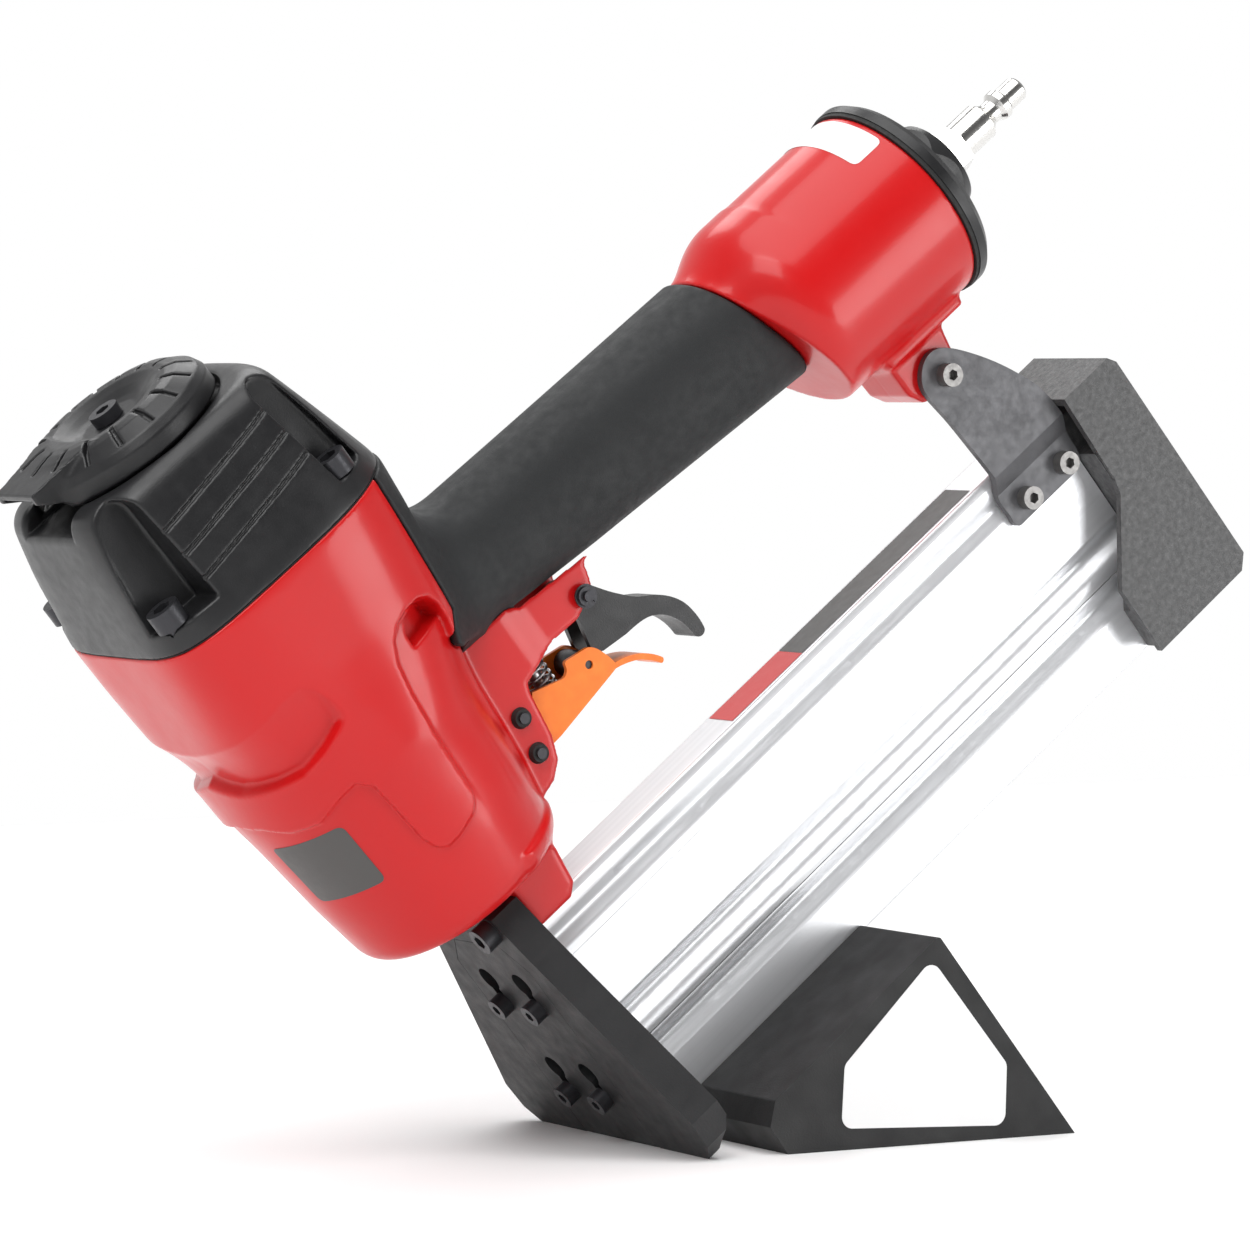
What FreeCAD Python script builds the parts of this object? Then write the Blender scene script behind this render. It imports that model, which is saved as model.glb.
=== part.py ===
import FreeCAD, Part
import math
import os
import re
from types import SimpleNamespace

import Sketcher
from FreeCAD import Placement, Rotation, Vector

# Pneumatic flooring nailer, modelled in the tool's own axes and then leaned over.
#
# Tool axes, in millimetres: +z runs up the drive axis from the nose to the head,
# +x runs back along the magazine, and y = 0 is the tool's middle plane.
# Every sub-part carries one common placement, which leans those axes by the working
# angle and puts the row's origin at the centre of the foot's sole on the floor.

SIZES = {
    # how the tool stands
    "lean_angle": 39.0,
    "nose_height": 41.94,
    # drive line
    "blade_width": 8.0,
    "blade_thick": 2.4,
    "drive_stroke": 76.0,
    # nose
    "nose_front": -5.8,
    "nose_thick": 10.5,
    "nose_plate_thick": 4.5,
    "nose_plate_half": 22.0,
    "shoe_top_half": 22.0,
    "shoe_neck_half": 28.0,
    "shoe_wide_half": 56.0,
    "shoe_sole_half": 50.0,
    "nose_bottom": -49.27,
    "nose_screw_row": 4.1,
    "nose_screw_pitch": 34.8,
    "nose_screw_side": 10.05,
    # housing
    "body_bottom": 44.0,
    "body_seam": 165.4,
    "body_low_radius": 36.5,
    "body_bore": 30.6,
    "grip_wall": 3.2,
    "chamber_radius": 32.9,
    "chamber_axis": 106.4,
    "chamber_front": 172.0,
    "chamber_rear": 239.0,
    "chamber_wall": 4.0,
    # cap and deflector
    "cap_bottom": 166.0,
    "cap_top": 208.0,
    "deflector_radius": 30.0,
    "deflector_top": 222.0,
    "cap_screw_x": 32.7,
    "cap_screw_y": 34.8,
    # cylinder internals
    "sleeve_outer": 27.0,
    "sleeve_bore": 24.0,
    "sleeve_low": 50.0,
    "sleeve_high": 150.0,
    "piston_height": 10.0,
    "piston_top": 148.0,
    "bumper_height": 12.0,
    "valve_lift": 5.0,
    # magazine
    "magazine_front": 4.8,
    "track_front": 9.0,
    "magazine_back": 239.0,
    "magazine_top": 25.0,
    "magazine_split": -26.9,
    "magazine_bottom": -52.7,
    "magazine_half": 9.0,
    "channel_half": 3.4,
    # rear brackets and tail
    "bracket_thick": 2.5,
    "bracket_bolt_front": 215.4,
    "bracket_bolt_back": 232.0,
    "bracket_bolt_low": 12.5,
    "lug_bolt_x": 214.8,
    "lug_bolt_z": 60.5,
    "tail_half": 20.0,
    "tail_wall": 2.5,
    "tail_back": 262.0,
    "tail_top": 30.5,
    "tail_bottom": -51.5,
    # foot
    "foot_half": 52.5,
    "foot_shoulder": -50.0,
    "foot_front": 13.7,
    "foot_crest": 91.7,
    "foot_back": 90.5,
    # trigger group
    "cheek_outer": 13.0,
    "cheek_thick": 2.3,
    "pivot_x": 39.4,
    "pivot_z": 62.7,
    "guard_pin_x": 41.4,
    "guard_pin_z": 74.2,
    "lever_pin_x": 79.7,
    "lever_pin_z": 87.8,
    "pin_radius": 1.6,
    "trigger_outer": 8.0,
    "trigger_inner": 6.4,
    "lever_outer": 6.0,
    "lever_inner": 4.0,
    "valve_x": 57.5,
}


class Size:
    """A length that keeps its value and the sheet expression that gives it."""

    def __init__(self, value, text=None):
        self.value = float(value)
        self.bound = text is not None
        self.text = text if self.bound else f"({self.value!r})"

    def _join(self, sign, other, value):
        other = as_size(other)
        joined = Size(value, f"({self.text} {sign} {other.text})")
        joined.bound = self.bound or other.bound
        return joined

    def __add__(self, other):
        return self._join("+", other, self.value + as_size(other).value)

    def __sub__(self, other):
        return self._join("-", other, self.value - as_size(other).value)

    def __mul__(self, other):
        return self._join("*", other, self.value * as_size(other).value)

    def __truediv__(self, other):
        return self._join("/", other, self.value / as_size(other).value)

    def __neg__(self):
        return as_size(0.0) - self

    def __radd__(self, other):
        return as_size(other) + self

    def __rsub__(self, other):
        return as_size(other) - self

    __rmul__ = __mul__


def as_size(value):
    return value if isinstance(value, Size) else Size(value)


def num(value):
    """The plain number behind a Size or a float."""
    return as_size(value).value


doc = FreeCAD.newDocument("flooring_nailer")
sheet = doc.addObject("Spreadsheet::Sheet", "Dims")
for row, (alias, amount) in enumerate(SIZES.items(), start=1):
    sheet.set(f"A{row}", alias)
    sheet.set(f"B{row}", str(amount))
    sheet.setAlias(f"B{row}", alias)
doc.recompute()
d = SimpleNamespace(**{alias: Size(sheet.get(alias), f"Dims.{alias}") for alias in SIZES})

LEAN = math.radians(d.lean_angle.value)
FOOT_MIDDLE = 101.15  # how far the sole's centre lies in front of the drive line's foot point
STAND = Placement(
    Vector(-FOOT_MIDDLE, 0, d.nose_height.value),
    Rotation(Vector(0, 1, 0), -d.lean_angle.value),
)
TURN = {
    "z": Rotation(),
    "x": Rotation(Vector(0, 0, 1), Vector(1, 0, 0)),
    "y": Rotation(Vector(0, 0, 1), Vector(0, 1, 0)),
    "-x": Rotation(Vector(0, 0, 1), Vector(-1, 0, 0)),
    "-y": Rotation(Vector(0, 0, 1), Vector(0, -1, 0)),
}
nodes = []


def floor_below(x):
    """The tool-axis height at which the floor lies under the point x."""
    return -(d.nose_height.value + num(x) * math.sin(LEAN)) / math.cos(LEAN)


def bind(thing, name, value):
    """Set a property from the sheet where the value comes from it."""
    value = as_size(value)
    setattr(thing, name, value.value)
    if value.bound:
        thing.setExpression(name, value.text)


def sub_part(label, thing):
    """Name a finished sub-part and stand it in the row's frame."""
    thing.Label = label
    thing.Placement = STAND.multiply(thing.Placement)
    nodes.append(thing)
    return thing


# ---- primitives and booleans ------------------------------------------------


def cylinder(radius, length, base, axis="z"):
    piece = doc.addObject("Part::Cylinder", "Cylinder")
    bind(piece, "Radius", radius)
    bind(piece, "Height", length)
    piece.Placement = Placement(Vector(*[num(v) for v in base]), TURN[axis])
    return piece


def cone(radius_low, radius_high, length, base, axis="z"):
    piece = doc.addObject("Part::Cone", "Cone")
    bind(piece, "Radius1", radius_low)
    bind(piece, "Radius2", radius_high)
    bind(piece, "Height", length)
    piece.Placement = Placement(Vector(*[num(v) for v in base]), TURN[axis])
    return piece


def hexagon(across_flats, length, base, axis="z"):
    piece = doc.addObject("Part::Prism", "Hexagon")
    piece.Polygon = 6
    bind(piece, "Circumradius", as_size(across_flats) / math.sqrt(3))
    bind(piece, "Height", length)
    piece.Placement = Placement(Vector(*[num(v) for v in base]), TURN[axis])
    return piece


def ring(radius, tube, centre, axis="z"):
    piece = doc.addObject("Part::Torus", "Ring")
    bind(piece, "Radius1", radius)
    bind(piece, "Radius2", tube)
    piece.Placement = Placement(Vector(*[num(v) for v in centre]), TURN[axis])
    return piece


def block(x, y, z):
    """A box given by its low and high value along each axis."""
    piece = doc.addObject("Part::Box", "Block")
    for name, (low, high) in zip(("Length", "Width", "Height"), (x, y, z)):
        bind(piece, name, as_size(high) - low)
    piece.Placement = Placement(Vector(num(x[0]), num(y[0]), num(z[0])), Rotation())
    return piece


def fuse(*pieces):
    if len(pieces) == 1:
        return pieces[0]
    joined = doc.addObject("Part::MultiFuse", "Joined")
    joined.Shapes = list(pieces)
    return joined


def cut(base, *tools):
    trimmed = doc.addObject("Part::Cut", "Trimmed")
    trimmed.Base = base
    trimmed.Tool = fuse(*tools)
    return trimmed


def common(first, second):
    shared = doc.addObject("Part::Common", "Shared")
    shared.Base = first
    shared.Tool = second
    return shared


def group(*pieces):
    """Separate solids that share one node, such as a set of identical screws."""
    together = doc.addObject("Part::Compound", "Set")
    together.Links = list(pieces)
    return together


def formed(shape):
    """A piece whose shape is worked out directly from the sheet's values."""
    piece = doc.addObject("Part::Feature", "Formed")
    piece.Shape = shape
    return piece


# ---- bodies drawn as sketches -----------------------------------------------


def sketch_on(body, role, corners, offset=0.0):
    """A closed outline on one of the body's own origin planes, every corner dimensioned."""
    plane = next(item for item in body.Origin.OriginFeatures if item.Role == role)
    sketch = body.newObject("Sketcher::SketchObject", "Outline")
    sketch.AttachmentSupport = [(plane, "")]
    sketch.MapMode = "FlatFace"
    sketch.AttachmentOffset = Placement(Vector(0, 0, num(offset)), Rotation())
    if as_size(offset).bound:
        sketch.setExpression(".AttachmentOffset.Base.z", as_size(offset).text)
    points = [Vector(num(u), num(v), 0) for u, v in corners]
    count = len(points)
    sketch.addGeometry([Part.LineSegment(points[i], points[(i + 1) % count]) for i in range(count)])
    for i in range(count):
        sketch.addConstraint(Sketcher.Constraint("Coincident", i, 2, (i + 1) % count, 1))
    for i, corner in enumerate(corners):
        for kind, value in zip(("DistanceX", "DistanceY"), corner):
            index = sketch.addConstraint(Sketcher.Constraint(kind, -1, 1, i, 1, num(value)))
            if as_size(value).bound:
                sketch.setExpression(f"Constraints[{index}]", as_size(value).text)
    return sketch


def pad(role, corners, start, length):
    """A body padded from an outline; start and length run along the plane's normal."""
    body = doc.addObject("PartDesign::Body", "Body")
    sketch = sketch_on(body, role, corners, start)
    feature = body.newObject("PartDesign::Pad", "Pad")
    feature.Profile = sketch
    bind(feature, "Length", length)
    return body


def slab(corners, half_width):
    """An outline in x and z, padded evenly to both sides of the middle plane."""
    return pad("XZ_Plane", corners, -as_size(half_width), as_size(half_width) * 2)


def side_slab(corners, y_low, y_high):
    """An outline in x and z between two heights across the tool."""
    return pad("XZ_Plane", corners, -as_size(y_high), as_size(y_high) - y_low)


def bar(corners, x_start, x_end):
    """A section in y and z that runs along the magazine."""
    return pad("YZ_Plane", corners, x_start, as_size(x_end) - x_start)


def turned(corners):
    """A solid of revolution about the drive axis, from an outline in radius and height."""
    body = doc.addObject("PartDesign::Body", "Body")
    sketch = sketch_on(body, "XZ_Plane", corners)
    feature = body.newObject("PartDesign::Revolution", "Turn")
    feature.Profile = sketch
    feature.ReferenceAxis = (sketch, ["V_Axis"])
    feature.Angle = 360.0
    return body


def round_edges(body, radius, wanted):
    """Fillet the edges of a body's last feature that the test picks out."""
    doc.recompute()
    tip = body.Tip
    names = [f"Edge{i}" for i, edge in enumerate(tip.Shape.Edges, start=1) if wanted(edge)]
    feature = body.newObject("PartDesign::Fillet", "Fillet")
    feature.Base = (tip, names)
    bind(feature, "Radius", radius)
    return body


def mirrored_outline(half):
    """Close a half outline, given as (y, z) from top to bottom, by its mirror image."""
    return list(half) + [(-as_size(y), z) for y, z in reversed(half)]


def curved_edges(points_of, start, runs):
    """Edges that go on from the start; a run of one point is straight, a longer run is a smooth curve."""
    here = points_of(*start)
    edges = []
    for run in runs:
        points = [here] + [points_of(*corner) for corner in run]
        if len(points) == 2:
            edges.append(Part.LineSegment(points[0], points[1]).toShape())
        else:
            curve = Part.BSplineCurve()
            curve.interpolate(points)
            edges.append(curve.toShape())
        here = points[-1]
    return edges


def curved_slab(start, runs, half_width):
    """A curved outline in x and z, thickened evenly to both sides of the middle plane."""
    reach = num(half_width)
    edges = curved_edges(lambda x, z: Vector(num(x), -reach, num(z)), start, runs)
    return formed(Part.Face(Part.Wire(edges)).extrude(Vector(0, 2 * reach, 0)))


def curved_bar(start, runs, x_start, x_end):
    """A section in y and z, drawn for one side and mirrored, that runs along the magazine."""
    x_start, x_end = num(x_start), num(x_end)
    sides = [
        curved_edges(lambda y, z: Vector(x_start, sign * num(y), num(z)), start, runs) for sign in (1, -1)
    ]
    ends = [(num(start[0]), num(start[1])), (num(runs[-1][-1][0]), num(runs[-1][-1][1]))]
    caps = [Part.LineSegment(Vector(x_start, y, z), Vector(x_start, -y, z)).toShape() for y, z in ends]
    wire = Part.Wire(Part.__sortEdges__(sides[0] + sides[1] + caps))
    return formed(Part.Face(wire).extrude(Vector(x_end - x_start, 0, 0)))


def runs_along(edge, axis):
    """Whether a straight edge is parallel to an axis."""
    if not isinstance(edge.Curve, Part.Line):
        return False
    return abs(edge.tangentAt(edge.FirstParameter).dot(axis)) > 0.999


def turned_about(corners, base, axis):
    """A solid of revolution whose own z axis is laid along the given axis."""
    body = turned(corners)
    body.Placement = Placement(Vector(*[num(v) for v in base]), TURN[axis])
    return body


# ---- lofted sections ----------------------------------------------------------


def rounded_wire(centre, u, v, half_u, half_v, corner):
    """A rounded rectangle about a centre, in the plane of the unit vectors u and v."""
    corner = min(corner, 0.98 * half_u, 0.98 * half_v)
    edges = []
    signs = ((1, 1), (-1, 1), (-1, -1), (1, -1))
    arcs = []
    for k, (su, sv) in enumerate(signs):
        middle = centre + u * (su * (half_u - corner)) + v * (sv * (half_v - corner))
        at_u = middle + u * (su * corner)
        at_v = middle + v * (sv * corner)
        between = middle + (u * su + v * sv) * (corner / math.sqrt(2))
        first, last = (at_u, at_v) if k % 2 == 0 else (at_v, at_u)
        arcs.append((first, between, last))
    for k, (first, between, last) in enumerate(arcs):
        edges.append(Part.Arc(first, between, last).toShape())
        edges.append(Part.LineSegment(last, arcs[(k + 1) % 4][0]).toShape())
    return Part.Wire(edges)


def loft_up(sections):
    """Loft (z, x_low, x_high, half_y, corner) sections up the drive axis."""
    wires = []
    for z, x_low, x_high, half_y, corner in sections:
        centre = Vector((x_low + x_high) / 2, 0, z)
        wires.append(
            rounded_wire(centre, Vector(1, 0, 0), Vector(0, 1, 0), (x_high - x_low) / 2, half_y, corner)
        )
    return Part.makeLoft(wires, True)


def loft_back(sections):
    """Loft (x, half_y, z_low, z_high, corner, slant) sections back along the handle."""
    wires = []
    for x, half_y, z_low, z_high, corner, slant in sections:
        centre = Vector(x, 0, (z_low + z_high) / 2)
        up = Vector(-math.tan(math.radians(slant)), 0, 1)
        wires.append(rounded_wire(centre, Vector(0, 1, 0), up, half_y, (z_high - z_low) / 2, corner))
    return Part.makeLoft(wires, True)


def tube_between(radius, start, end):
    """A plain solid cylinder from one point to another."""
    start, end = Vector(*start), Vector(*end)
    return Part.makeCylinder(radius, (end - start).Length, start, end - start)


def screw(head_radius, head_length, shank_radius, shank_length, seat, axis, socket):
    """A socket-head screw: seat is where the head's underside bears, axis points out of the head."""
    along = {"x": Vector(1, 0, 0), "-x": Vector(-1, 0, 0), "z": Vector(0, 0, 1),
             "y": Vector(0, 1, 0), "-y": Vector(0, -1, 0)}[axis]
    seat = Vector(*[num(v) for v in seat])
    head = cylinder(head_radius, head_length, seat, axis)
    shank = cylinder(shank_radius, shank_length, seat - along * num(shank_length), axis)
    recess = hexagon(socket, num(head_length) * 0.6, seat + along * (num(head_length) * 0.45), axis)
    return cut(fuse(head, shank), recess)


# ---- nose -------------------------------------------------------------------------


def nose_group():
    back = d.nose_front + d.nose_thick
    plate_back = d.nose_front + d.nose_plate_thick
    half_outline = [
        (d.shoe_top_half, 39.0),
        (d.shoe_neck_half, 24.0),
        (d.shoe_wide_half, -35.0),
        (d.shoe_wide_half - 1.0, -44.0),
        (d.shoe_sole_half, d.nose_bottom),
    ]
    blank = bar(mirrored_outline(half_outline), d.nose_front, back)
    flanks = [
        (num(d.nose_front) - 1.0, 45.0),
        (num(back) + 1.0, 45.0),
        (num(back) + 1.0, -39.6),
        (num(back), -40.5),
        (0.2, -46.5),
        (-2.6, floor_below(-2.6)),
        (num(d.nose_front), floor_below(d.nose_front)),
        (num(d.nose_front) - 1.0, floor_below(d.nose_front)),
    ]
    shaped = common(blank, slab(flanks, 60.0))
    fit = 0.15
    plate_half = [
        (13.5, 28.0),
        (d.nose_plate_half, 19.0),
        (d.nose_plate_half, d.nose_bottom + 0.2),
    ]
    recess_half = [(num(y) + fit, num(z) + fit) for y, z in plate_half[:2]]
    recess_half.append((num(d.nose_plate_half) + fit, -60.0))
    recess = bar(mirrored_outline(recess_half), num(d.nose_front) - 2.0, plate_back)
    blade_slot = block((num(plate_back) - 0.1, 1.7), (-4.3, 4.3), (-60.0, 45.0))
    nail_slot = block((1.0, num(back) + 1.0), (-d.channel_half, d.channel_half), (-60.0, 23.0))
    rows = [d.nose_screw_row, d.nose_screw_row - d.nose_screw_pitch]
    tapped = [
        cylinder(2.0, 12.0, (-6.0, side * num(d.nose_screw_side), row), "x") for row in rows for side in (-1, 1)
    ]
    shoe_screw_height = 34.5
    shoe_screw_side = 17.0
    clear = [cylinder(2.5, 14.0, (-7.0, side * shoe_screw_side, shoe_screw_height), "x") for side in (-1, 1)]
    sub_part("nose_shoe", cut(shaped, recess, blade_slot, nail_slot, *tapped, *clear))

    plate = bar(mirrored_outline(plate_half), d.nose_front, plate_back)
    keyholes = []
    for row in rows:
        for side in (-1, 1):
            y = side * num(d.nose_screw_side)
            keyholes.append(cylinder(2.0, 9.0, (-8.0, y, num(row)), "x"))
            keyholes.append(block((-8.0, 0.0), (y - 2.0, y + 2.0), (num(row), num(row) + 8.8)))
            keyholes.append(cylinder(4.1, 9.0, (-8.0, y, num(row) + 8.8), "x"))
    sub_part("nose_plate", cut(plate, *keyholes))

    plate_screws = [
        screw(3.5, 4.0, 1.99, 8.5, (d.nose_front, side * num(d.nose_screw_side), row), "-x", 3.0)
        for row in rows
        for side in (-1, 1)
    ]
    sub_part("nose_screws", group(*plate_screws))
    shoe_screws = [
        screw(4.25, 5.0, 2.49, 18.0, (d.nose_front, side * shoe_screw_side, shoe_screw_height), "-x", 4.0)
        for side in (-1, 1)
    ]
    sub_part("shoe_screws", group(*shoe_screws))


# ---- housing ------------------------------------------------------------------------

# z, x_low, x_high, half_y, corner radius: the casting's outside, from its foot to the seam
BODY_SECTIONS = [
    (43.6, -31.5, 31.5, 31.5, 31.0),
    (48.0, -34.2, 34.2, 34.2, 33.6),
    (66.0, -37.0, 37.0, 37.0, 36.4),
    (92.0, -39.6, 40.0, 39.6, 38.4),
    (120.0, -40.4, 43.0, 41.4, 31.0),
    (145.0, -40.5, 48.0, 43.4, 19.0),
    (165.4, -40.5, 52.0, 44.8, 16.0),
]
# x, half_y, z_low, z_high, corner radius, slant: the rubber handle's outside
GRIP_SECTIONS = [
    (40.0, 22.0, 93.0, 150.0, 16.0, 0.0),
    (56.0, 19.0, 93.5, 143.0, 17.0, 0.0),
    (68.0, 18.0, 94.4, 137.0, 17.0, 0.0),
    (92.0, 18.0, 94.4, 136.2, 17.0, 0.0),
    (122.0, 18.2, 92.6, 136.0, 17.4, 4.0),
    (150.0, 19.2, 90.2, 135.6, 18.4, 10.0),
    (175.0, 20.5, 88.2, 135.0, 20.0, 17.0),
]
# the metal core under the rubber runs on into the rear chamber
CORE_SECTIONS = GRIP_SECTIONS[:-1] + [
    (176.0, 20.5, 87.5, 136.0, 20.0, 8.0),
    (200.0, 20.5, 87.5, 136.0, 20.0, 0.0),
]


def shrunk(sections, wall):
    """The same handle sections drawn in by a wall thickness."""
    return [
        (x, half_y - wall, low + wall, high - wall, max(corner - wall, 4.0), slant)
        for x, half_y, low, high, corner, slant in sections
    ]


def housing():
    axis_z = d.chamber_axis.value
    front = d.chamber_front.value
    rear = d.chamber_rear.value
    radius = d.chamber_radius.value
    shoulder = 13.0
    body = loft_up(BODY_SECTIONS)
    core = loft_back(shrunk(CORE_SECTIONS, d.grip_wall.value))
    chamber = Part.makeCylinder(radius, rear - front, Vector(front, 0, axis_z), Vector(1, 0, 0))
    front_edges = [e for e in chamber.Edges if abs(e.CenterOfMass.x - front) < 0.1 and e.Length > 50]
    chamber = chamber.makeFillet(shoulder, front_edges).Solids[0]
    leg = Part.makeBox(19.5, 42.0, 40.0, Vector(num(d.nose_front + d.nose_thick), -21.0, 25.8))
    leg_edges = [e for e in leg.Edges if runs_along(e, Vector(0, 0, 1)) and e.CenterOfMass.x > 10]
    leg = leg.makeFillet(4.0, leg_edges).Solids[0]
    rib = Part.makeBox(22.0, 11.6, 22.6, Vector(24.0, -5.8, 69.5))
    saddle_pad = Part.makeBox(32.0, 30.0, 24.0, Vector(201.0, -15.0, 73.3))
    lug = Part.makeBox(18.5, 23.0, 14.0, Vector(204.0, -11.5, 60.5))
    lug_end = Part.makeCylinder(9.25, 23.0, Vector(213.25, -11.5, 61.0), Vector(0, 1, 0))
    solid = body
    for piece in (core, chamber, leg, rib, saddle_pad, lug, lug_end):
        solid = solid.fuse(piece)

    bore = d.body_bore.value
    inner = rear - front - shoulder
    air_passage = Part.makeBox(150.0, 22.0, 30.0, Vector(38.0, -11.0, 99.5))
    air_passage = air_passage.makeFillet(9.5, [e for e in air_passage.Edges if runs_along(e, Vector(1, 0, 0))])
    hollows = [
        Part.makeCylinder(bore, 70.0, Vector(0, 0, 50.0)),
        Part.makeCone(bore, 35.8, 34.0, Vector(0, 0, 66.0)),
        Part.makeCylinder(35.8, 70.0, Vector(0, 0, 99.9)),
        Part.makeCylinder(34.0, 70.0, Vector(8.0, 0, 112.0)),
        Part.makeCylinder(radius - d.chamber_wall.value, inner, Vector(front + shoulder, 0, axis_z), Vector(1, 0, 0)),
        air_passage,
        Part.makeCylinder(7.05, 12.0, Vector(d.valve_x.value, 0, 92.0)),
        Part.makeCylinder(7.0, 16.0, Vector(0, 0, 38.0)),
        Part.makeBox(20.0, 18.0, 17.5, Vector(35.0, -9.0, 55.0)),
        tube_between(d.pin_radius.value, (d.guard_pin_x.value, -20, d.guard_pin_z.value),
                     (d.guard_pin_x.value, 20, d.guard_pin_z.value)),
        tube_between(2.0, (d.lug_bolt_x.value, -20, d.lug_bolt_z.value),
                     (d.lug_bolt_x.value, 0, d.lug_bolt_z.value)),
    ]
    for hollow in hollows:
        solid = solid.cut(hollow)
    for side in (-1, 1):
        solid = solid.cut(tube_between(2.5, (4.0, side * 17.0, 34.5), (15.0, side * 17.0, 34.5)))
        for x in (-1, 1):
            hole = Part.makeCylinder(
                3.05, 18.0, Vector(x * d.cap_screw_x.value, side * d.cap_screw_y.value, 150.0)
            )
            solid = solid.cut(hole)
    sub_part("housing", formed(solid.removeSplitter()))


def grip_sleeve():
    wall = 3.6
    outer_saddle = loft_up(
        [(z, low - wall, high + wall, half + wall, corner + wall) for z, low, high, half, corner in BODY_SECTIONS[2:]]
    )
    window = Part.makeBox(40.0, 60.0, 58.4, Vector(30.0, -30.0, 107.0))
    window = window.makeFillet(6.0, [e for e in window.Edges if runs_along(e, Vector(1, 0, 0))])
    saddle = outer_saddle.common(window)
    handle = loft_back(GRIP_SECTIONS)
    solid = saddle.fuse(handle)
    clearance = 0.12
    body = loft_up(
        [(z, low - clearance, high + clearance, half + clearance, corner) for z, low, high, half, corner in BODY_SECTIONS]
    )
    solid = solid.cut(body)
    solid = solid.cut(loft_back(shrunk(CORE_SECTIONS, d.grip_wall.value - clearance)))
    chamber_start = d.chamber_front.value - clearance
    chamber = Part.makeCylinder(
        d.chamber_radius.value + clearance, 80.0, Vector(chamber_start, 0, d.chamber_axis.value), Vector(1, 0, 0)
    )
    chamber = chamber.makeFillet(
        13.0, [e for e in chamber.Edges if abs(e.CenterOfMass.x - chamber_start) < 0.1 and e.Length > 50]
    )
    solid = solid.cut(chamber)
    solid = solid.cut(Part.makeCylinder(7.3, 20.0, Vector(d.valve_x.value, 0, 85.0)))
    largest = max(solid.Solids, key=lambda piece: piece.Volume)
    sub_part("grip_sleeve", formed(largest))


# ---- head -----------------------------------------------------------------------------


def head_group():
    seam = d.cap_bottom.value
    top = d.cap_top.value
    shell = loft_up(
        [
            (seam, -40.5, 52.4, 44.8, 16.0),
            (top - 8.0, -36.6, 43.6, 39.5, 16.0),
            (top - 2.0, -34.6, 39.6, 35.5, 15.0),
            (top, -32.4, 37.6, 33.0, 13.5),
        ]
    )
    cavity = Part.makeCylinder(30.0, 24.0, Vector(0, 0, seam))
    vent = Part.makeCylinder(15.0, 40.0, Vector(0, 0, seam))
    recess = Part.makeCylinder(31.0, 4.0, Vector(0, 0, top - 2.0))
    side_room = Part.makeBox(66.0, 44.0, 30.0, Vector(-29.0, -22.0, seam))
    cross_room = Part.makeBox(34.0, 66.0, 30.0, Vector(-17.0, -33.0, seam))
    solid = shell.cut(cavity).cut(vent).cut(recess).cut(side_room).cut(cross_room)
    spider = Part.makeCylinder(5.0, 12.0, Vector(0, 0, top - 14.0))
    arm_box = Part.makeBox(34.0, 5.0, 8.0, Vector(-17.0, -2.5, top - 14.0))
    solid = solid.fuse(spider).fuse(arm_box)
    solid = solid.cut(Part.makeCylinder(2.5, 30.0, Vector(0, 0, top - 20.0)))
    pocket_floor = seam + 7.0
    for x in (-1, 1):
        for side in (-1, 1):
            low_x, high_x = sorted((x * 24.2, x * 60.0))
            low_y, high_y = sorted((side * 27.0, side * 60.0))
            pocket = Part.makeBox(high_x - low_x, high_y - low_y, 29.0, Vector(low_x, low_y, pocket_floor))
            solid = solid.cut(pocket)
            seat = Vector(x * d.cap_screw_x.value, side * d.cap_screw_y.value, seam - 1.0)
            solid = solid.cut(Part.makeCylinder(3.1, 12.0, seat))
    sub_part("cylinder_cap", formed(solid.removeSplitter()))

    gasket = loft_up([(z, -40.3, 52.0, 44.3, 16.0) for z in (d.body_seam.value, seam)])
    gasket = gasket.cut(Part.makeCylinder(30.5, 2.0, Vector(0, 0, d.body_seam.value - 0.5)))
    for x in (-1, 1):
        for side in (-1, 1):
            seat = Vector(x * d.cap_screw_x.value, side * d.cap_screw_y.value, seam - 2.0)
            gasket = gasket.cut(Part.makeCylinder(3.1, 4.0, seat))
    sub_part("cap_gasket", formed(gasket))

    cap_screws = [
        screw(5.0, 6.0, 2.99, 18.0, (x * num(d.cap_screw_x), side * num(d.cap_screw_y), pocket_floor), "z", 5.0)
        for x in (-1, 1)
        for side in (-1, 1)
    ]
    sub_part("cap_screws", group(*cap_screws))

    radius = d.deflector_radius
    dish = turned(
        [
            (2.6, 210.5),
            (12.0, 210.5),
            (14.0, 208.6),
            (27.5, 208.6),
            (radius, 211.5),
            (radius, 216.0),
            (radius - 3.0, 219.8),
            (radius - 8.0, d.deflector_top),
            (14.5, 221.0),
            (10.5, 218.9),
            (7.5, 218.4),
            (2.6, 218.4),
        ]
    )
    spout = block((-41.0, -14.0), (-13.0, 13.0), (209.6, 218.0))
    duct = block((-45.0, -12.0), (-11.0, 11.0), (207.0, 216.2))
    sub_part("exhaust_deflector", cut(fuse(dish, spout), duct))
    sub_part("deflector_screw", screw(4.6, 3.4, 2.45, 16.0, (0, 0, 218.6), "z", 4.0))


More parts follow.
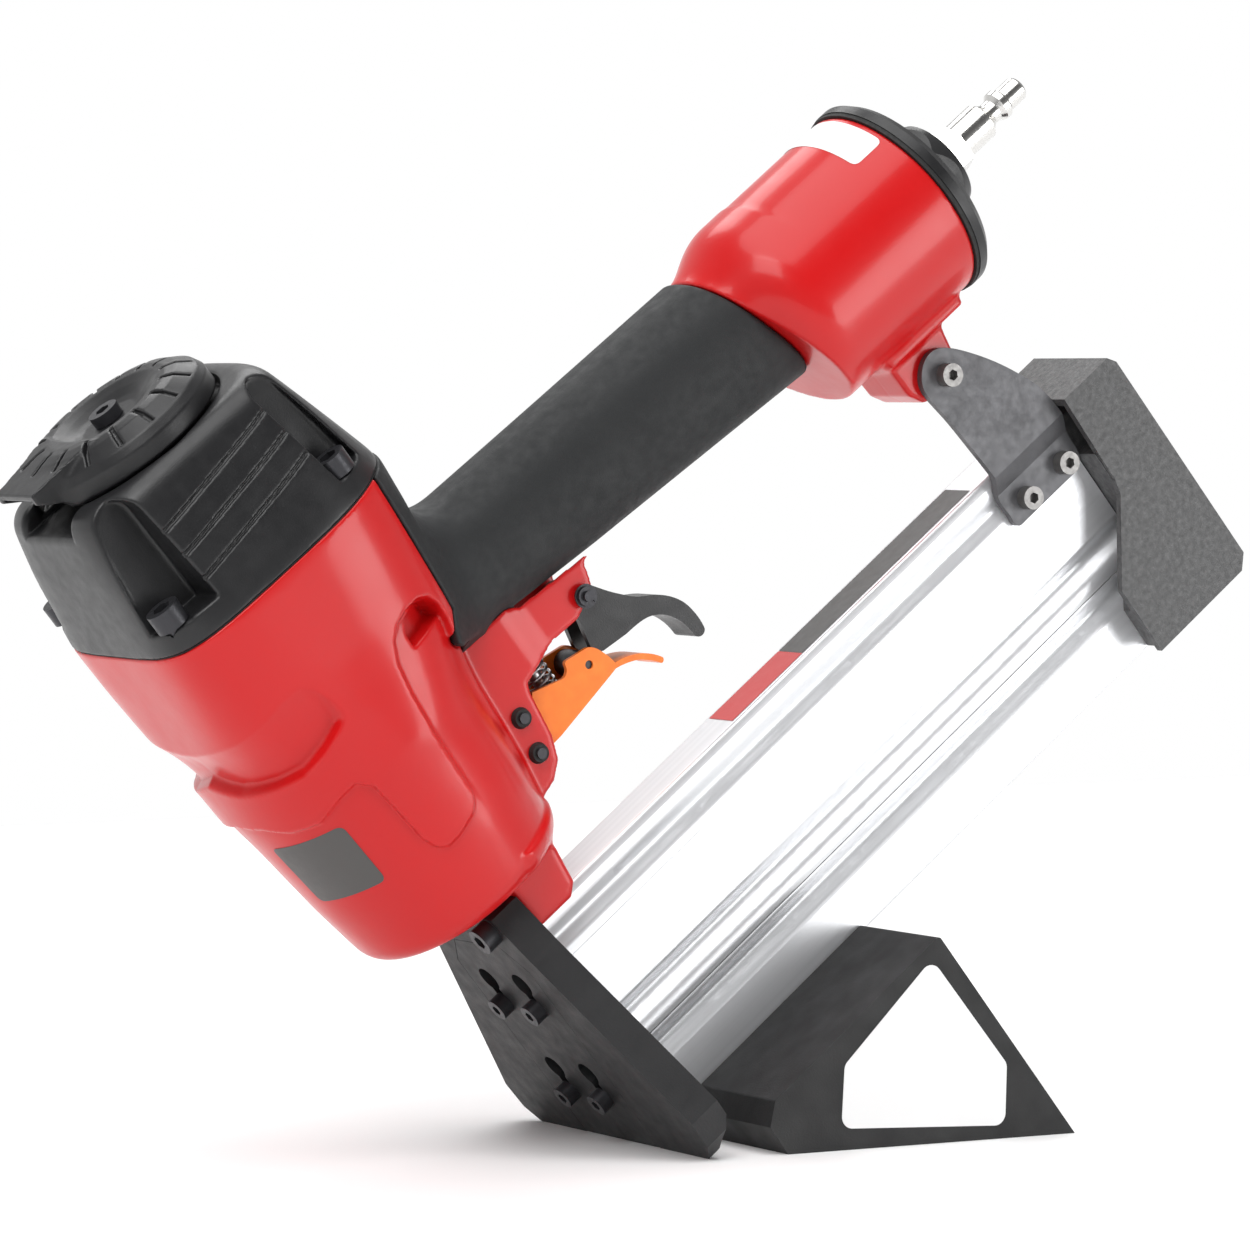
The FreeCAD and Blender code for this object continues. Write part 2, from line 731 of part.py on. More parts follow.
def cylinder_group():
    sleeve = turned(
        [
            (d.sleeve_bore, d.sleeve_low),
            (d.sleeve_outer, d.sleeve_low),
            (d.sleeve_outer, d.sleeve_high - 8.0),
            (d.sleeve_outer + 3.0, d.sleeve_high - 8.0),
            (d.sleeve_outer + 3.0, d.sleeve_high),
            (d.sleeve_bore, d.sleeve_high),
        ]
    )
    sub_part("cylinder_sleeve", sleeve)
    piston_low = d.piston_top - d.piston_height
    piston = turned(
        [
            (0.0, piston_low - 6.0),
            (8.0, piston_low - 6.0),
            (10.0, piston_low),
            (d.sleeve_bore - 0.3, piston_low),
            (d.sleeve_bore - 0.3, piston_low + 3.5),
            (d.sleeve_bore - 2.5, piston_low + 3.5),
            (d.sleeve_bore - 2.5, piston_low + 6.5),
            (d.sleeve_bore - 0.3, piston_low + 6.5),
            (d.sleeve_bore - 0.3, d.piston_top),
            (0.0, d.piston_top),
        ]
    )
    half_width = d.blade_width / 2
    half_thick = d.blade_thick / 2
    slot = block((-half_thick, half_thick), (-half_width, half_width), (piston_low - 7.0, piston_low - 2.0))
    sub_part("piston", cut(piston, slot))
    sub_part("piston_ring", ring(d.sleeve_bore - 1.45, 1.35, (0, 0, piston_low + 5.0)))
    blade = block((-half_thick, half_thick), (-half_width, half_width), (27.5, piston_low - 2.0))
    sub_part("driver_blade", blade)
    low = d.sleeve_low + 0.5
    bumper = turned(
        [
            (11.2, low),
            (d.sleeve_bore - 0.4, low),
            (d.sleeve_bore - 0.4, low + 7.0),
            (d.sleeve_bore - 6.0, low + d.bumper_height - 2.5),
            (11.2, low + d.bumper_height - 2.5),
        ]
    )
    sub_part("bumper", bumper)
    valve_low = d.sleeve_high + 0.4
    head_valve = turned(
        [
            (12.0, valve_low),
            (d.sleeve_outer + 1.5, valve_low),
            (d.sleeve_outer + 1.5, valve_low + 12.0),
            (d.sleeve_outer - 2.0, valve_low + 12.0),
            (d.sleeve_outer - 2.0, valve_low + 4.0),
            (12.0, valve_low + 4.0),
        ]
    )
    sub_part("head_valve", head_valve)
    spring_radius = 19.0
    spring = Part.makeHelix(5.5, 33.0, spring_radius)
    section = Part.Wire(Part.makeCircle(0.9, Vector(spring_radius, 0, 0), Vector(0, 1, 0)))
    coil = Part.Wire(spring).makePipeShell([section], True, True)
    coil.translate(Vector(0, 0, num(valve_low) + 5.2))
    sub_part("head_valve_spring", formed(coil))


# ---- air inlet ----------------------------------------------------------------------------


def inlet_group():
    centre = (0.0, 0.0, d.chamber_axis)
    rim = d.chamber_radius + 1.0
    at = d.chamber_rear
    sub_part(
        "end_cap_gasket",
        cut(cylinder(rim - 0.3, 1.4, (at, 0, d.chamber_axis), "x"), cylinder(27.5, 4.0, (at - 1.0, 0, d.chamber_axis), "x")),
    )
    cap = turned_about(
        [
            (6.6, at + 1.4),
            (rim, at + 1.4),
            (rim, at + 4.4),
            (rim - 2.0, at + 6.6),
            (19.5, at + 9.0),
            (19.5, at + 8.0),
            (6.6, at + 8.0),
        ],
        centre,
        "x",
    )
    boss = hexagon(31.0, 14.5, (at + 5.0, 0, d.chamber_axis), "x")
    taper = cone(22.0, 14.5, 14.5, (at + 5.0, 0, d.chamber_axis), "x")
    plug_hole = cylinder(6.6, 30.0, (at - 1.0, 0, d.chamber_axis), "x")
    sub_part("end_cap", cut(fuse(cap, common(boss, taper)), plug_hole))

    face = at + 19.5
    seal = cut(
        cylinder(7.6, 1.4, (face, 0, d.chamber_axis), "x"), cylinder(6.6, 4.0, (face - 1.0, 0, d.chamber_axis), "x")
    )
    sub_part("inlet_seal", seal)
    start = num(face)
    profile = [
        (2.6, start - 17.0),
        (6.55, start - 17.0),
        (6.55, start + 1.6),
        (7.0, start + 1.6),
        (7.0, start + 9.0),
        (6.0, start + 9.6),
        (6.0, start + 21.0),
        (5.0, start + 22.0),
        (3.6, start + 24.0),
        (3.6, start + 26.5),
        (4.9, start + 28.0),
        (4.9, start + 30.0),
        (3.95, start + 31.0),
        (3.95, start + 37.2),
        (3.4, start + 38.0),
        (2.6, start + 38.0),
    ]
    plug = fuse(
        turned_about(profile, centre, "x"),
        cut(hexagon(14.3, 7.4, (start + 1.6, 0, d.chamber_axis), "x"),
            cylinder(5.0, 9.0, (start + 1.0, 0, d.chamber_axis), "x")),
    )
    sub_part("air_plug", plug)


# ---- trigger group ----------------------------------------------------------------------------


def trigger_group():
    outer = d.cheek_outer
    inner = d.cheek_outer - d.cheek_thick
    cheek = [
        (28.0, 104.0),
        (62.0, 104.0),
        (93.6, 101.0),
        (92.4, 96.6),
        (86.6, 94.6),
        (85.4, 89.5),
        (82.5, 84.5),
        (74.2, 83.0),
        (64.0, 83.6),
        (52.1, 80.8),
        (49.4, 79.6),
        (48.4, 77.0),
        (46.5, 63.7),
        (43.6, 56.7),
        (38.7, 52.8),
        (31.0, 50.6),
        (28.0, 50.4),
    ]
    gap = block((20.0, 90.0), (-inner, inner), (40.0, 110.0))
    web = block((66.0, 84.0), (-outer, outer), (92.3, 93.7))
    pins = [(d.guard_pin_x, d.guard_pin_z), (d.pivot_x, d.pivot_z), (d.lever_pin_x, d.lever_pin_z)]
    holes = [cylinder(d.pin_radius, 40.0, (x, -20.0, z), "y") for x, z in pins]
    cheeks = cut(slab(cheek, outer), gap)
    gap_to_casting = 0.1
    body_room = formed(loft_up([
        (z, low - gap_to_casting, high + gap_to_casting, half + gap_to_casting, corner)
        for z, low, high, half, corner in BODY_SECTIONS
    ]))
    grip_room = formed(loft_back([
        (x, half + gap_to_casting, low - gap_to_casting, high, corner, slant)
        for x, half, low, high, corner, slant in GRIP_SECTIONS
    ]))
    sub_part("trigger_bracket", cut(fuse(cheeks, web), body_room, grip_room, *holes))

    trigger_start = (36.2, 60.4)
    trigger_runs = [
        [(38.0, 59.2)],
        [(50.2, 59.6)],
        [(73.5, 62.6)],
        [(76.9, 63.1)],
        [(76.9, 66.2), (76.0, 69.3), (75.1, 71.5), (73.8, 73.2), (71.8, 74.1)],
        [(65.2, 75.4)],
        [(64.3, 75.0), (63.8, 73.6), (62.7, 72.4), (61.0, 72.0)],
        [(50.8, 75.5)],
        [(46.6, 70.2)],
        [(40.0, 66.8)],
        [(36.6, 65.4)],
        [trigger_start],
    ]
    thick = 1.6
    trough = [
        (30.0, 90.0),
        (30.0, 61.0),
        (50.0, 61.2),
        (73.5, 62.6 + thick),
        (90.0, 64.6),
        (90.0, 90.0),
    ]
    channel = cut(curved_slab(trigger_start, trigger_runs, d.trigger_outer), slab(trough, d.trigger_inner))
    tongue_start = (74.0, 62.68)
    tongue_runs = [
        [(77.5, 62.3), (80.6, 61.3), (84.2, 59.5), (87.2, 56.8), (89.3, 54.0)],
        [(90.1, 53.7), (90.8, 54.3), (90.7, 55.2)],
        [(88.4, 58.3), (85.2, 61.0), (82.0, 62.7), (78.4, 63.8), (74.0, 64.3)],
        [tongue_start],
    ]
    tongue = curved_slab(tongue_start, tongue_runs, 6.6)
    pivot_hole = cylinder(d.pin_radius + 0.05, 40.0, (d.pivot_x, -20.0, d.pivot_z), "y")
    roller_x, roller_z, roller_half = 70.2, 69.6, 6.2
    roller_hole = cylinder(1.3, 40.0, (roller_x, -20.0, roller_z), "y")
    sub_part("trigger", cut(fuse(channel, tongue), pivot_hole, roller_hole))
    roller = cylinder(4.0, 2 * roller_half, (roller_x, -roller_half, roller_z), "y")
    roller_bore = cylinder(1.35, 20.0, (roller_x, -10.0, roller_z), "y")
    sub_part("trigger_roller", cut(roller, roller_bore))
    pin_reach = num(d.trigger_outer) - 0.7
    sub_part("roller_pin", cylinder(1.29, 2 * pin_reach, (roller_x, -pin_reach, roller_z), "y"))
    pin_half = outer + 2.6
    pin_radius = d.pin_radius - 0.01
    sub_part("trigger_pin", cylinder(pin_radius, pin_half * 2, (d.pivot_x, -pin_half, d.pivot_z), "y"))
    sub_part("bracket_pin", cylinder(pin_radius, pin_half * 2, (d.guard_pin_x, -pin_half, d.guard_pin_z), "y"))
    collars = []
    for x, z in pins[:2]:
        for side in ("y", "-y"):
            sign = 1 if side == "y" else -1
            seat = (x, sign * num(outer), z)
            inside = (x, sign * (num(outer) - 1.0), z)
            collars.append(cut(cone(3.2, 2.6, 1.8, seat, side), cylinder(d.pin_radius, 6.0, inside, side)))
    sub_part("pin_collars", group(*collars))

    lever_start = (77.3, 68.9)
    lever_runs = [
        [(86.0, 67.8)],
        [(91.8, 67.5), (95.2, 66.7), (98.0, 65.1), (100.2, 62.9), (102.0, 59.8), (103.0, 56.6), (103.4, 53.2)],
        [(103.9, 51.7), (105.2, 51.0), (106.6, 51.3), (107.4, 52.5)],
        [(107.7, 55.5), (107.5, 58.9), (106.8, 62.2), (105.3, 65.3), (102.7, 68.6), (99.9, 71.0),
         (95.7, 73.9), (92.2, 77.7), (89.6, 81.0), (87.5, 84.1), (85.6, 87.0)],
        [(83.0, 90.6), (79.8, 91.7), (76.6, 90.6)],
        [(76.2, 85.0)],
        [(76.5, 80.7)],
        [(74.6, 72.4)],
        [(75.2, 70.4), (77.3, 68.9)],
    ]
    hollow = [
        (70.0, 60.0),
        (84.0, 60.0),
        (95.5, 68.0),
        (86.5, 79.5),
        (83.8, 86.0),
        (83.5, 100.0),
        (70.0, 100.0),
    ]
    lever_hole = cylinder(d.pin_radius + 0.05, 40.0, (d.lever_pin_x, -20.0, d.lever_pin_z), "y")
    lever = cut(curved_slab(lever_start, lever_runs, d.lever_outer), slab(hollow, d.lever_inner), lever_hole)
    sub_part("interlock_lever", lever)
    interlock_pin = cylinder(pin_radius, pin_half * 2, (d.lever_pin_x, -pin_half, d.lever_pin_z), "y")
    sub_part("interlock_pin", interlock_pin)
    clips = []
    for side in ("y", "-y"):
        sign = 1 if side == "y" else -1
        face = sign * num(outer)
        washer = cut(
            cylinder(3.6, 0.6, (d.lever_pin_x, face, d.lever_pin_z), side),
            cylinder(d.pin_radius, 3.0, (d.lever_pin_x, face - sign, d.lever_pin_z), side),
        )
        clip_face = face + sign * 0.9
        clip = cut(
            cylinder(2.9, 0.6, (d.lever_pin_x, clip_face, d.lever_pin_z), side),
            cylinder(d.pin_radius, 3.0, (d.lever_pin_x, clip_face - sign, d.lever_pin_z), side),
            block(
                (num(d.lever_pin_x) - 0.9, num(d.lever_pin_x) + 0.9),
                (clip_face - 2.0, clip_face + 2.0),
                (num(d.lever_pin_z) - 6.0, d.lever_pin_z),
            ),
        )
        clips += [washer, clip]
    sub_part("retaining_clips", group(*clips))

    valve_x = d.valve_x
    valve_section = [(2.1, 79.6), (5.0, 79.6), (7.0, 81.5), (7.0, 103.0), (2.1, 103.0)]
    sub_part("valve_body", turned_about(valve_section, (valve_x, 0, 0), "z"))
    stem = turned_about(
        [(0.0, 62.9), (2.0, 62.9), (2.0, 64.4), (5.2, 64.4), (5.2, 65.6), (2.0, 65.6), (2.0, 97.0), (0.0, 97.0)],
        (valve_x, 0, 0),
        "z",
    )
    sub_part("valve_stem", stem)
    spring_radius = 4.4
    path = Part.makeHelix(2.2, 11.0, spring_radius)
    section = Part.Wire(Part.makeCircle(0.45, Vector(spring_radius, 0, 0), Vector(0, 1, 0)))
    coil = Part.Wire(path).makePipeShell([section], True, True)
    coil.translate(Vector(valve_x.value, 0, 67.8))
    sub_part("trigger_spring", formed(coil))


# ---- magazine -----------------------------------------------------------------------------------


def magazine_group():
    half = d.magazine_half
    split = d.magazine_split
    waist = half - 0.5
    rail_runs = [
        [(half - 0.6, 24.6), (half - 0.1, 23.7), (half + 0.2, 22.2)],
        [(half + 0.2, 20.4)],
        [(half - 0.1, 18.9), (half - 0.9, 17.3), (half - 1.7, 15.9), (half - 1.8, 14.8),
         (half - 1.3, 13.4), (half - 0.5, 12.0), (half - 0.1, 10.6)],
        [(half, 8.3)],
        [(waist, 7.9)],
        [(waist, -13.0)],
        [(half - 0.8, -14.0), (half - 1.8, -15.2), (half - 2.6, -16.6), (half - 2.7, -17.8),
         (half - 2.1, -19.2), (half - 0.7, -20.8), (half + 0.4, -22.2), (half + 0.8, -23.8),
         (half + 0.7, -25.4), (half + 0.2, split + 0.15)],
    ]
    channel = d.channel_half
    rail = curved_bar((7.4, d.magazine_top), rail_runs, d.magazine_front, d.magazine_back)
    nail_room = block((0.0, 260.0), (-channel, channel), (-40.0, 21.0))
    side_room = [
        block((0.0, 260.0), (sign[0], sign[1]), (-11.0, 6.0)) for sign in ((-6.6, -4.6), (4.6, 6.6))
    ]
    groove = [
        block((0.0, 260.0), (sign[0], sign[1]), (-30.0, -22.6)) for sign in ((-5.9, -4.5), (4.5, 5.9))
    ]
    front_bolt = num(d.bracket_bolt_front)
    back_bolt = num(d.bracket_bolt_back)
    bolts = [cylinder(2.0, 15.0, (x, -15.0, d.bracket_bolt_low), "y") for x in (front_bolt, back_bolt)]
    sub_part("magazine_rail", cut(rail, nail_room, *side_room, *groove, *bolts))

    bottom = d.magazine_bottom
    track_runs = [
        [(half, -28.0), (half - 1.0, -29.3), (half - 2.1, -30.6), (half - 2.6, -31.9), (half - 2.3, -33.1),
         (half - 1.5, -34.5), (half - 0.8, -35.9), (half - 0.4, -37.5)],
        [(half - 0.4, bottom + 1.0)],
        [(half - 0.7, bottom + 0.3), (half - 1.4, bottom)],
    ]
    track = curved_bar((half + 0.2, split - 0.15), track_runs, d.track_front, d.magazine_back)
    tongues = [
        block((d.track_front, d.magazine_back), (sign[0], sign[1]), (-29.0, -23.0))
        for sign in ((-5.6, -4.8), (4.8, 5.6))
    ]
    nail_room = block((0.0, 260.0), (-channel, channel), (-48.5, -20.0))
    sub_part("magazine_track", cut(fuse(track, *tongues), nail_room))

    pusher_front = 8.0
    pusher = block((pusher_front, pusher_front + 34.0), (-2.9, 2.9), (-46.0, 20.0))
    roll_room = cylinder(12.0, 10.0, (pusher_front + 18.0, -5.0, 0.0), "y")
    sub_part("nail_pusher", cut(pusher, roll_room))
    roll = cut(
        cylinder(11.6, 5.0, (pusher_front + 18.0, -2.5, 0.0), "y"),
        cylinder(6.0, 8.0, (pusher_front + 18.0, -4.0, 0.0), "y"),
    )
    sub_part("pusher_spring", roll)

    thick = num(d.bracket_thick)
    side_face = num(half) + 0.25
    upper_face = 12.0
    profile = [
        (-side_face, 7.3),
        (-side_face - thick, 7.3),
        (-side_face - thick, 19.4),
        (-upper_face - thick, 25.4),
        (-upper_face - thick, 72.0),
        (-upper_face, 72.0),
        (-upper_face, 26.8),
        (-side_face, 20.8),
    ]
    outline_start = (209.0, 7.3)
    outline_runs = [
        [(230.8, 7.3)],
        [(234.8, 7.6), (237.4, 9.2), (238.5, 11.6), (238.6, 14.4), (238.8, 17.8), (239.4, 21.4), (239.8, 25.0),
         (239.6, 29.5), (238.6, 36.0), (236.2, 42.4), (232.4, 50.0), (228.2, 56.8), (223.9, 62.6),
         (220.2, 66.6), (216.5, 68.8), (212.6, 68.8), (208.7, 66.4), (206.2, 62.6), (206.0, 58.0),
         (207.0, 51.0), (207.8, 43.0), (208.4, 35.0), (208.9, 28.0), (208.7, 23.0), (207.6, 19.4),
         (207.2, 15.8), (207.4, 12.0), (207.2, 9.4), (207.7, 7.9), (209.0, 7.3)],
    ]
    sheet_metal = common(bar(profile, 200.0, 245.0), curved_slab(outline_start, outline_runs, 20.0))
    holes = [cylinder(2.05, 40.0, (x, -20.0, d.bracket_bolt_low), "y") for x in (front_bolt, back_bolt)]
    holes.append(cylinder(2.05, 40.0, (d.lug_bolt_x, -20.0, d.lug_bolt_z), "y"))
    sub_part("rear_bracket", cut(sheet_metal, *holes))
    low_seat = -side_face - thick
    bracket_bolts = [
        screw(3.5, 4.0, 1.95, 7.5, (x, low_seat, d.bracket_bolt_low), "-y", 3.0) for x in (front_bolt, back_bolt)
    ]
    lug_seat = (d.lug_bolt_x, -upper_face - thick, d.lug_bolt_z)
    bracket_bolts.append(screw(3.5, 4.0, 1.95, 12.0, lug_seat, "-y", 3.0))
    sub_part("bracket_bolts", group(*bracket_bolts))


def tail_casting():
    outline = [
        (240.2, d.tail_top),
        (260.0, d.tail_top),
        (d.tail_back, d.tail_top - 3.0),
        (d.tail_back, d.tail_bottom + 4.0),
        (d.tail_back - 4.0, d.tail_bottom),
        (220.0, d.tail_bottom),
        (220.2, -28.0),
        (238.2, -4.6),
        (239.4, 0.4),
    ]
    wall = d.tail_wall
    outer = slab(outline, d.tail_half)
    hollow = [
        (200.0, 28.0),
        (d.tail_back - wall, 28.0),
        (d.tail_back - wall, -60.0),
        (200.0, -60.0),
    ]
    shell = cut(outer, slab(hollow, d.tail_half - wall))
    plug_low = slab([(239.3, 22.0), (260.5, 22.0), (260.5, -49.0), (239.3, -49.0)], 8.0)
    ribs = [
        side_slab([(239.3, 10.0), (260.5, 10.0), (260.5, -46.0), (239.3, -46.0)], low, high)
        for low, high in ((-18.5, -7.5), (7.5, 18.5))
    ]
    hook = side_slab([(222.5, -52.0), (222.5, -38.0), (241.0, -14.0), (241.0, -52.0)], 8.9, 18.5)
    hook_near = side_slab([(222.5, -52.0), (222.5, -38.0), (241.0, -14.0), (241.0, -52.0)], -18.5, -8.9)
    rail_room = block((200.0, 239.2), (-10.3, 10.3), (-29.0, 40.0))
    track_room = block((200.0, 239.2), (-8.65, 8.65), (-60.0, -28.0))
    sub_part("tail_casting", cut(fuse(shell, plug_low, *ribs, hook, hook_near), rail_room, track_room))


# ---- foot -----------------------------------------------------------------------------------------


def foot_group():
    front = num(d.foot_front)
    crest = num(d.foot_crest)
    back = num(d.foot_back)
    shoulder = num(d.foot_shoulder)
    outline = [
        (20.2, shoulder),
        (crest, shoulder),
        (back, floor_below(back)),
        (front, floor_below(front)),
        (14.1, -54.9),
    ]
    block_body = slab(outline, d.foot_half)
    round_edges(block_body, 1.2, lambda edge: runs_along(edge, Vector(0, 1, 0)) and edge.CenterOfMass.z > -54.0)
    slot = block((0.0, 120.0), (-9.4, 9.4), (-53.1, 0.0))
    keel = block((0.0, 78.3), (-6.2, 6.2), (-59.2, -50.0))
    sub_part("foot", cut(block_body, slot, keel))
    shoe_back = d.nose_front + d.nose_thick
    keel_bar = slab(
        [
            (shoe_back, -30.0),
            (d.track_front - 0.4, -30.0),
            (d.track_front - 0.4, -53.4),
            (64.0, -53.4),
            (64.0, -59.0),
            (7.2, -59.0),
            (shoe_back, -57.4),
        ],
        6.0,
    )
    nail_slot = block((0.0, d.track_front), (-d.channel_half, d.channel_half), (-52.0, -20.0))
    sub_part("foot_bar", cut(keel_bar, nail_slot))
    label = side_slab(
        [(85.5, -53.6), (85.6, -94.9), (73.7, -108.7), (31.5, -71.3), (43.9, -57.7)],
        -num(d.foot_half) - 0.2,
        -num(d.foot_half),
    )
    round_edges(label, 3.6, lambda edge: runs_along(edge, Vector(0, 1, 0)))
    sub_part(
        "foot_label",
        label,
    )


# ---- build -------------------------------------------------------------------------------------------

nose_group()
housing()
grip_sleeve()
head_group()
cylinder_group()
inlet_group()
trigger_group()
magazine_group()
tail_casting()
foot_group()

doc.recompute()
broken = [item.Label for item in doc.Objects if {"Invalid", "Error"} & set(item.State)]
if broken:
    raise RuntimeError("failed objects: " + ", ".join(broken))
os.makedirs("parts", exist_ok=True)
for node in nodes:
    if node.Shape.isNull() or not node.Shape.isValid():
        raise RuntimeError("bad shape: " + node.Label)
    if not re.fullmatch(r"[a-z0-9_]{1,59}", node.Label):
        raise RuntimeError("bad node name: " + node.Label)
    node.Shape.exportStep(f"parts/{node.Label}.step")
    box = node.Shape.BoundBox
    print(f"{node.Label:20s} {len(node.Shape.Solids)} solids {node.Shape.Volume / 1000:8.2f} cm3", end="  ")
    print(f"x {box.XMin:.1f}..{box.XMax:.1f} y {box.YMin:.1f}..{box.YMax:.1f} z {box.ZMin:.1f}..{box.ZMax:.1f}")
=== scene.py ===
import math

import bpy
import numpy as np
import openvdb
from mathutils import Matrix, Vector


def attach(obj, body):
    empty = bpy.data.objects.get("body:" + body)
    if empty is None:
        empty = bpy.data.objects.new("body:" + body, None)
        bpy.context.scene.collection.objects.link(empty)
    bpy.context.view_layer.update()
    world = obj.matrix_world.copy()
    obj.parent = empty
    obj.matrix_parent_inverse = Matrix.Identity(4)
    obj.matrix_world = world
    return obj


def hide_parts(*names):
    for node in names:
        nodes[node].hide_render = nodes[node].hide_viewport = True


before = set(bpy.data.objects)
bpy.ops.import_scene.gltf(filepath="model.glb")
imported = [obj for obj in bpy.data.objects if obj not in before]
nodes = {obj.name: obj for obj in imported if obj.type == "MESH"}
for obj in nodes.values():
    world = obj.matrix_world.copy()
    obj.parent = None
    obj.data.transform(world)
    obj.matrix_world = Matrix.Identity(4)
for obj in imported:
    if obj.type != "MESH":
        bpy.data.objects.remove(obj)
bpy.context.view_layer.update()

# The tool's own axes, leaned over in the row's frame: +x runs back along the magazine,
# +z up the drive axis, and y = 0 is the middle plane. Lengths in this script are
# millimetres in those axes until they are turned into the row's metres by TOOL.
LEAN = math.radians(39.0)
MM = 0.001
NOSE_ON_FLOOR = Vector((-101.15, 0.0, 41.94)) * MM
TOOL = Matrix.Translation(NOSE_ON_FLOOR) @ Matrix.Rotation(-LEAN, 4, "Y") @ Matrix.Scale(MM, 4)


# ---- materials ----------------------------------------------------------------


class Shader:
    """A small builder for node materials laid out in the tool's own axes, in millimetres."""

    def __init__(self, name, color, roughness, metallic=0.0, coat=0.0, coat_roughness=0.1, specular=0.5):
        self.material = bpy.data.materials.new(name)
        self.material.use_nodes = True
        self.tree = self.material.node_tree
        self.base = self.tree.nodes["Principled BSDF"]
        self.base.inputs["Base Color"].default_value = (*color, 1.0)
        self.base.inputs["Roughness"].default_value = roughness
        self.base.inputs["Metallic"].default_value = metallic
        self.base.inputs["Coat Weight"].default_value = coat
        self.base.inputs["Coat Roughness"].default_value = coat_roughness
        self.base.inputs["Specular IOR Level"].default_value = specular
        self.space = None

    def node(self, kind, **settings):
        made = self.tree.nodes.new(kind)
        for name, value in settings.items():
            setattr(made, name, value)
        return made

    def link(self, source, target):
        self.tree.links.new(source, target)

    def tool_space(self, stretch=(1.0, 1.0, 1.0)):
        """Coordinates in tool axes, in millimetres, optionally squeezed along an axis."""
        place = self.node("ShaderNodeTexCoord")
        turn = self.node("ShaderNodeMapping")
        turn.inputs["Rotation"].default_value = (0.0, LEAN, 0.0)
        turn.inputs["Scale"].default_value = (1 / MM, 1 / MM, 1 / MM)
        squeeze = self.node("ShaderNodeMapping")
        squeeze.inputs["Scale"].default_value = stretch
        self.link(place.outputs["Object"], turn.inputs["Vector"])
        self.link(turn.outputs["Vector"], squeeze.inputs["Vector"])
        return squeeze.outputs["Vector"]

    def noise(self, scale, detail=2.0, roughness=0.5, stretch=(1.0, 1.0, 1.0)):
        texture = self.node("ShaderNodeTexNoise")
        texture.inputs["Scale"].default_value = scale
        texture.inputs["Detail"].default_value = detail
        texture.inputs["Roughness"].default_value = roughness
        self.link(self.tool_space(stretch), texture.inputs["Vector"])
        return texture.outputs["Fac"]

    def span(self, value, low, high, start=0.0, end=1.0):
        """Map a texture value from start..end to low..high."""
        mapped = self.node("ShaderNodeMapRange")
        mapped.inputs["From Min"].default_value = start
        mapped.inputs["From Max"].default_value = end
        mapped.inputs["To Min"].default_value = low
        mapped.inputs["To Max"].default_value = high
        self.link(value, mapped.inputs["Value"])
        return mapped.outputs["Result"]

    def bump(self, *layers):
        """Stack bumps: each layer is a texture value and its depth in millimetres."""
        below = None
        for value, depth in layers:
            bump = self.node("ShaderNodeBump")
            bump.inputs["Strength"].default_value = 1.0
            bump.inputs["Distance"].default_value = depth * MM
            self.link(value, bump.inputs["Height"])
            if below is not None:
                self.link(below, bump.inputs["Normal"])
            below = bump.outputs["Normal"]
        self.link(below, self.base.inputs["Normal"])
        return self

    def vary_roughness(self, value, low, high):
        self.link(self.span(value, low, high, 0.3, 0.7), self.base.inputs["Roughness"])
        return self

    def vary_color(self, value, dark, light):
        mix = self.node("ShaderNodeMix", data_type="RGBA")
        mix.inputs["A"].default_value = (*dark, 1.0)
        mix.inputs["B"].default_value = (*light, 1.0)
        self.link(self.span(value, 0.0, 1.0, 0.3, 0.7), mix.inputs["Factor"])
        self.link(mix.outputs["Result"], self.base.inputs["Base Color"])
        return self


def red_enamel():
    paint = Shader("red_enamel", (0.56, 0.006, 0.007), 0.36, coat=0.35, coat_roughness=0.14, specular=0.25)
    broad = paint.noise(0.012, 1.0)
    paint.vary_color(broad, (0.54, 0.005, 0.006), (0.58, 0.007, 0.008))
    paint.vary_roughness(paint.noise(0.1, 2.0), 0.3, 0.38)
    return paint.bump((paint.noise(0.45, 2.0), 0.02)).material


def moulded_black():
    plastic = Shader("moulded_black", (0.012, 0.012, 0.013), 0.36, specular=0.45)
    plastic.vary_color(plastic.noise(0.05, 3.0), (0.010, 0.010, 0.011), (0.015, 0.015, 0.016))
    plastic.vary_roughness(plastic.noise(0.25, 4.0), 0.32, 0.42)
    return plastic.bump((plastic.noise(2.2, 3.0), 0.035), (plastic.noise(0.1, 2.0), 0.05)).material


def grip_rubber():
    rubber = Shader("grip_rubber", (0.018, 0.019, 0.02), 0.55, specular=0.35)
    rubber.vary_color(rubber.noise(0.04, 3.0), (0.016, 0.017, 0.018), (0.021, 0.022, 0.023))
    rubber.vary_roughness(rubber.noise(0.3, 4.0), 0.55, 0.7)
    return rubber.bump((rubber.noise(2.6, 4.0), 0.05)).material


def powder_black():
    coat = Shader("powder_black", (0.014, 0.014, 0.015), 0.5, specular=0.4)
    coat.vary_color(coat.noise(0.06, 3.0), (0.012, 0.012, 0.013), (0.018, 0.018, 0.019))
    coat.vary_roughness(coat.noise(0.2, 4.0), 0.45, 0.6)
    return coat.bump((coat.noise(1.6, 4.0), 0.05)).material


def wrinkle_grey():
    coat = Shader("wrinkle_grey", (0.05, 0.05, 0.051), 0.4, specular=0.7)
    coat.vary_color(coat.noise(0.5, 3.0), (0.035, 0.035, 0.036), (0.07, 0.07, 0.071))
    coat.vary_roughness(coat.noise(0.6, 3.0), 0.4, 0.6)
    return coat.bump((coat.noise(0.9, 5.0, 0.65), 0.16)).material


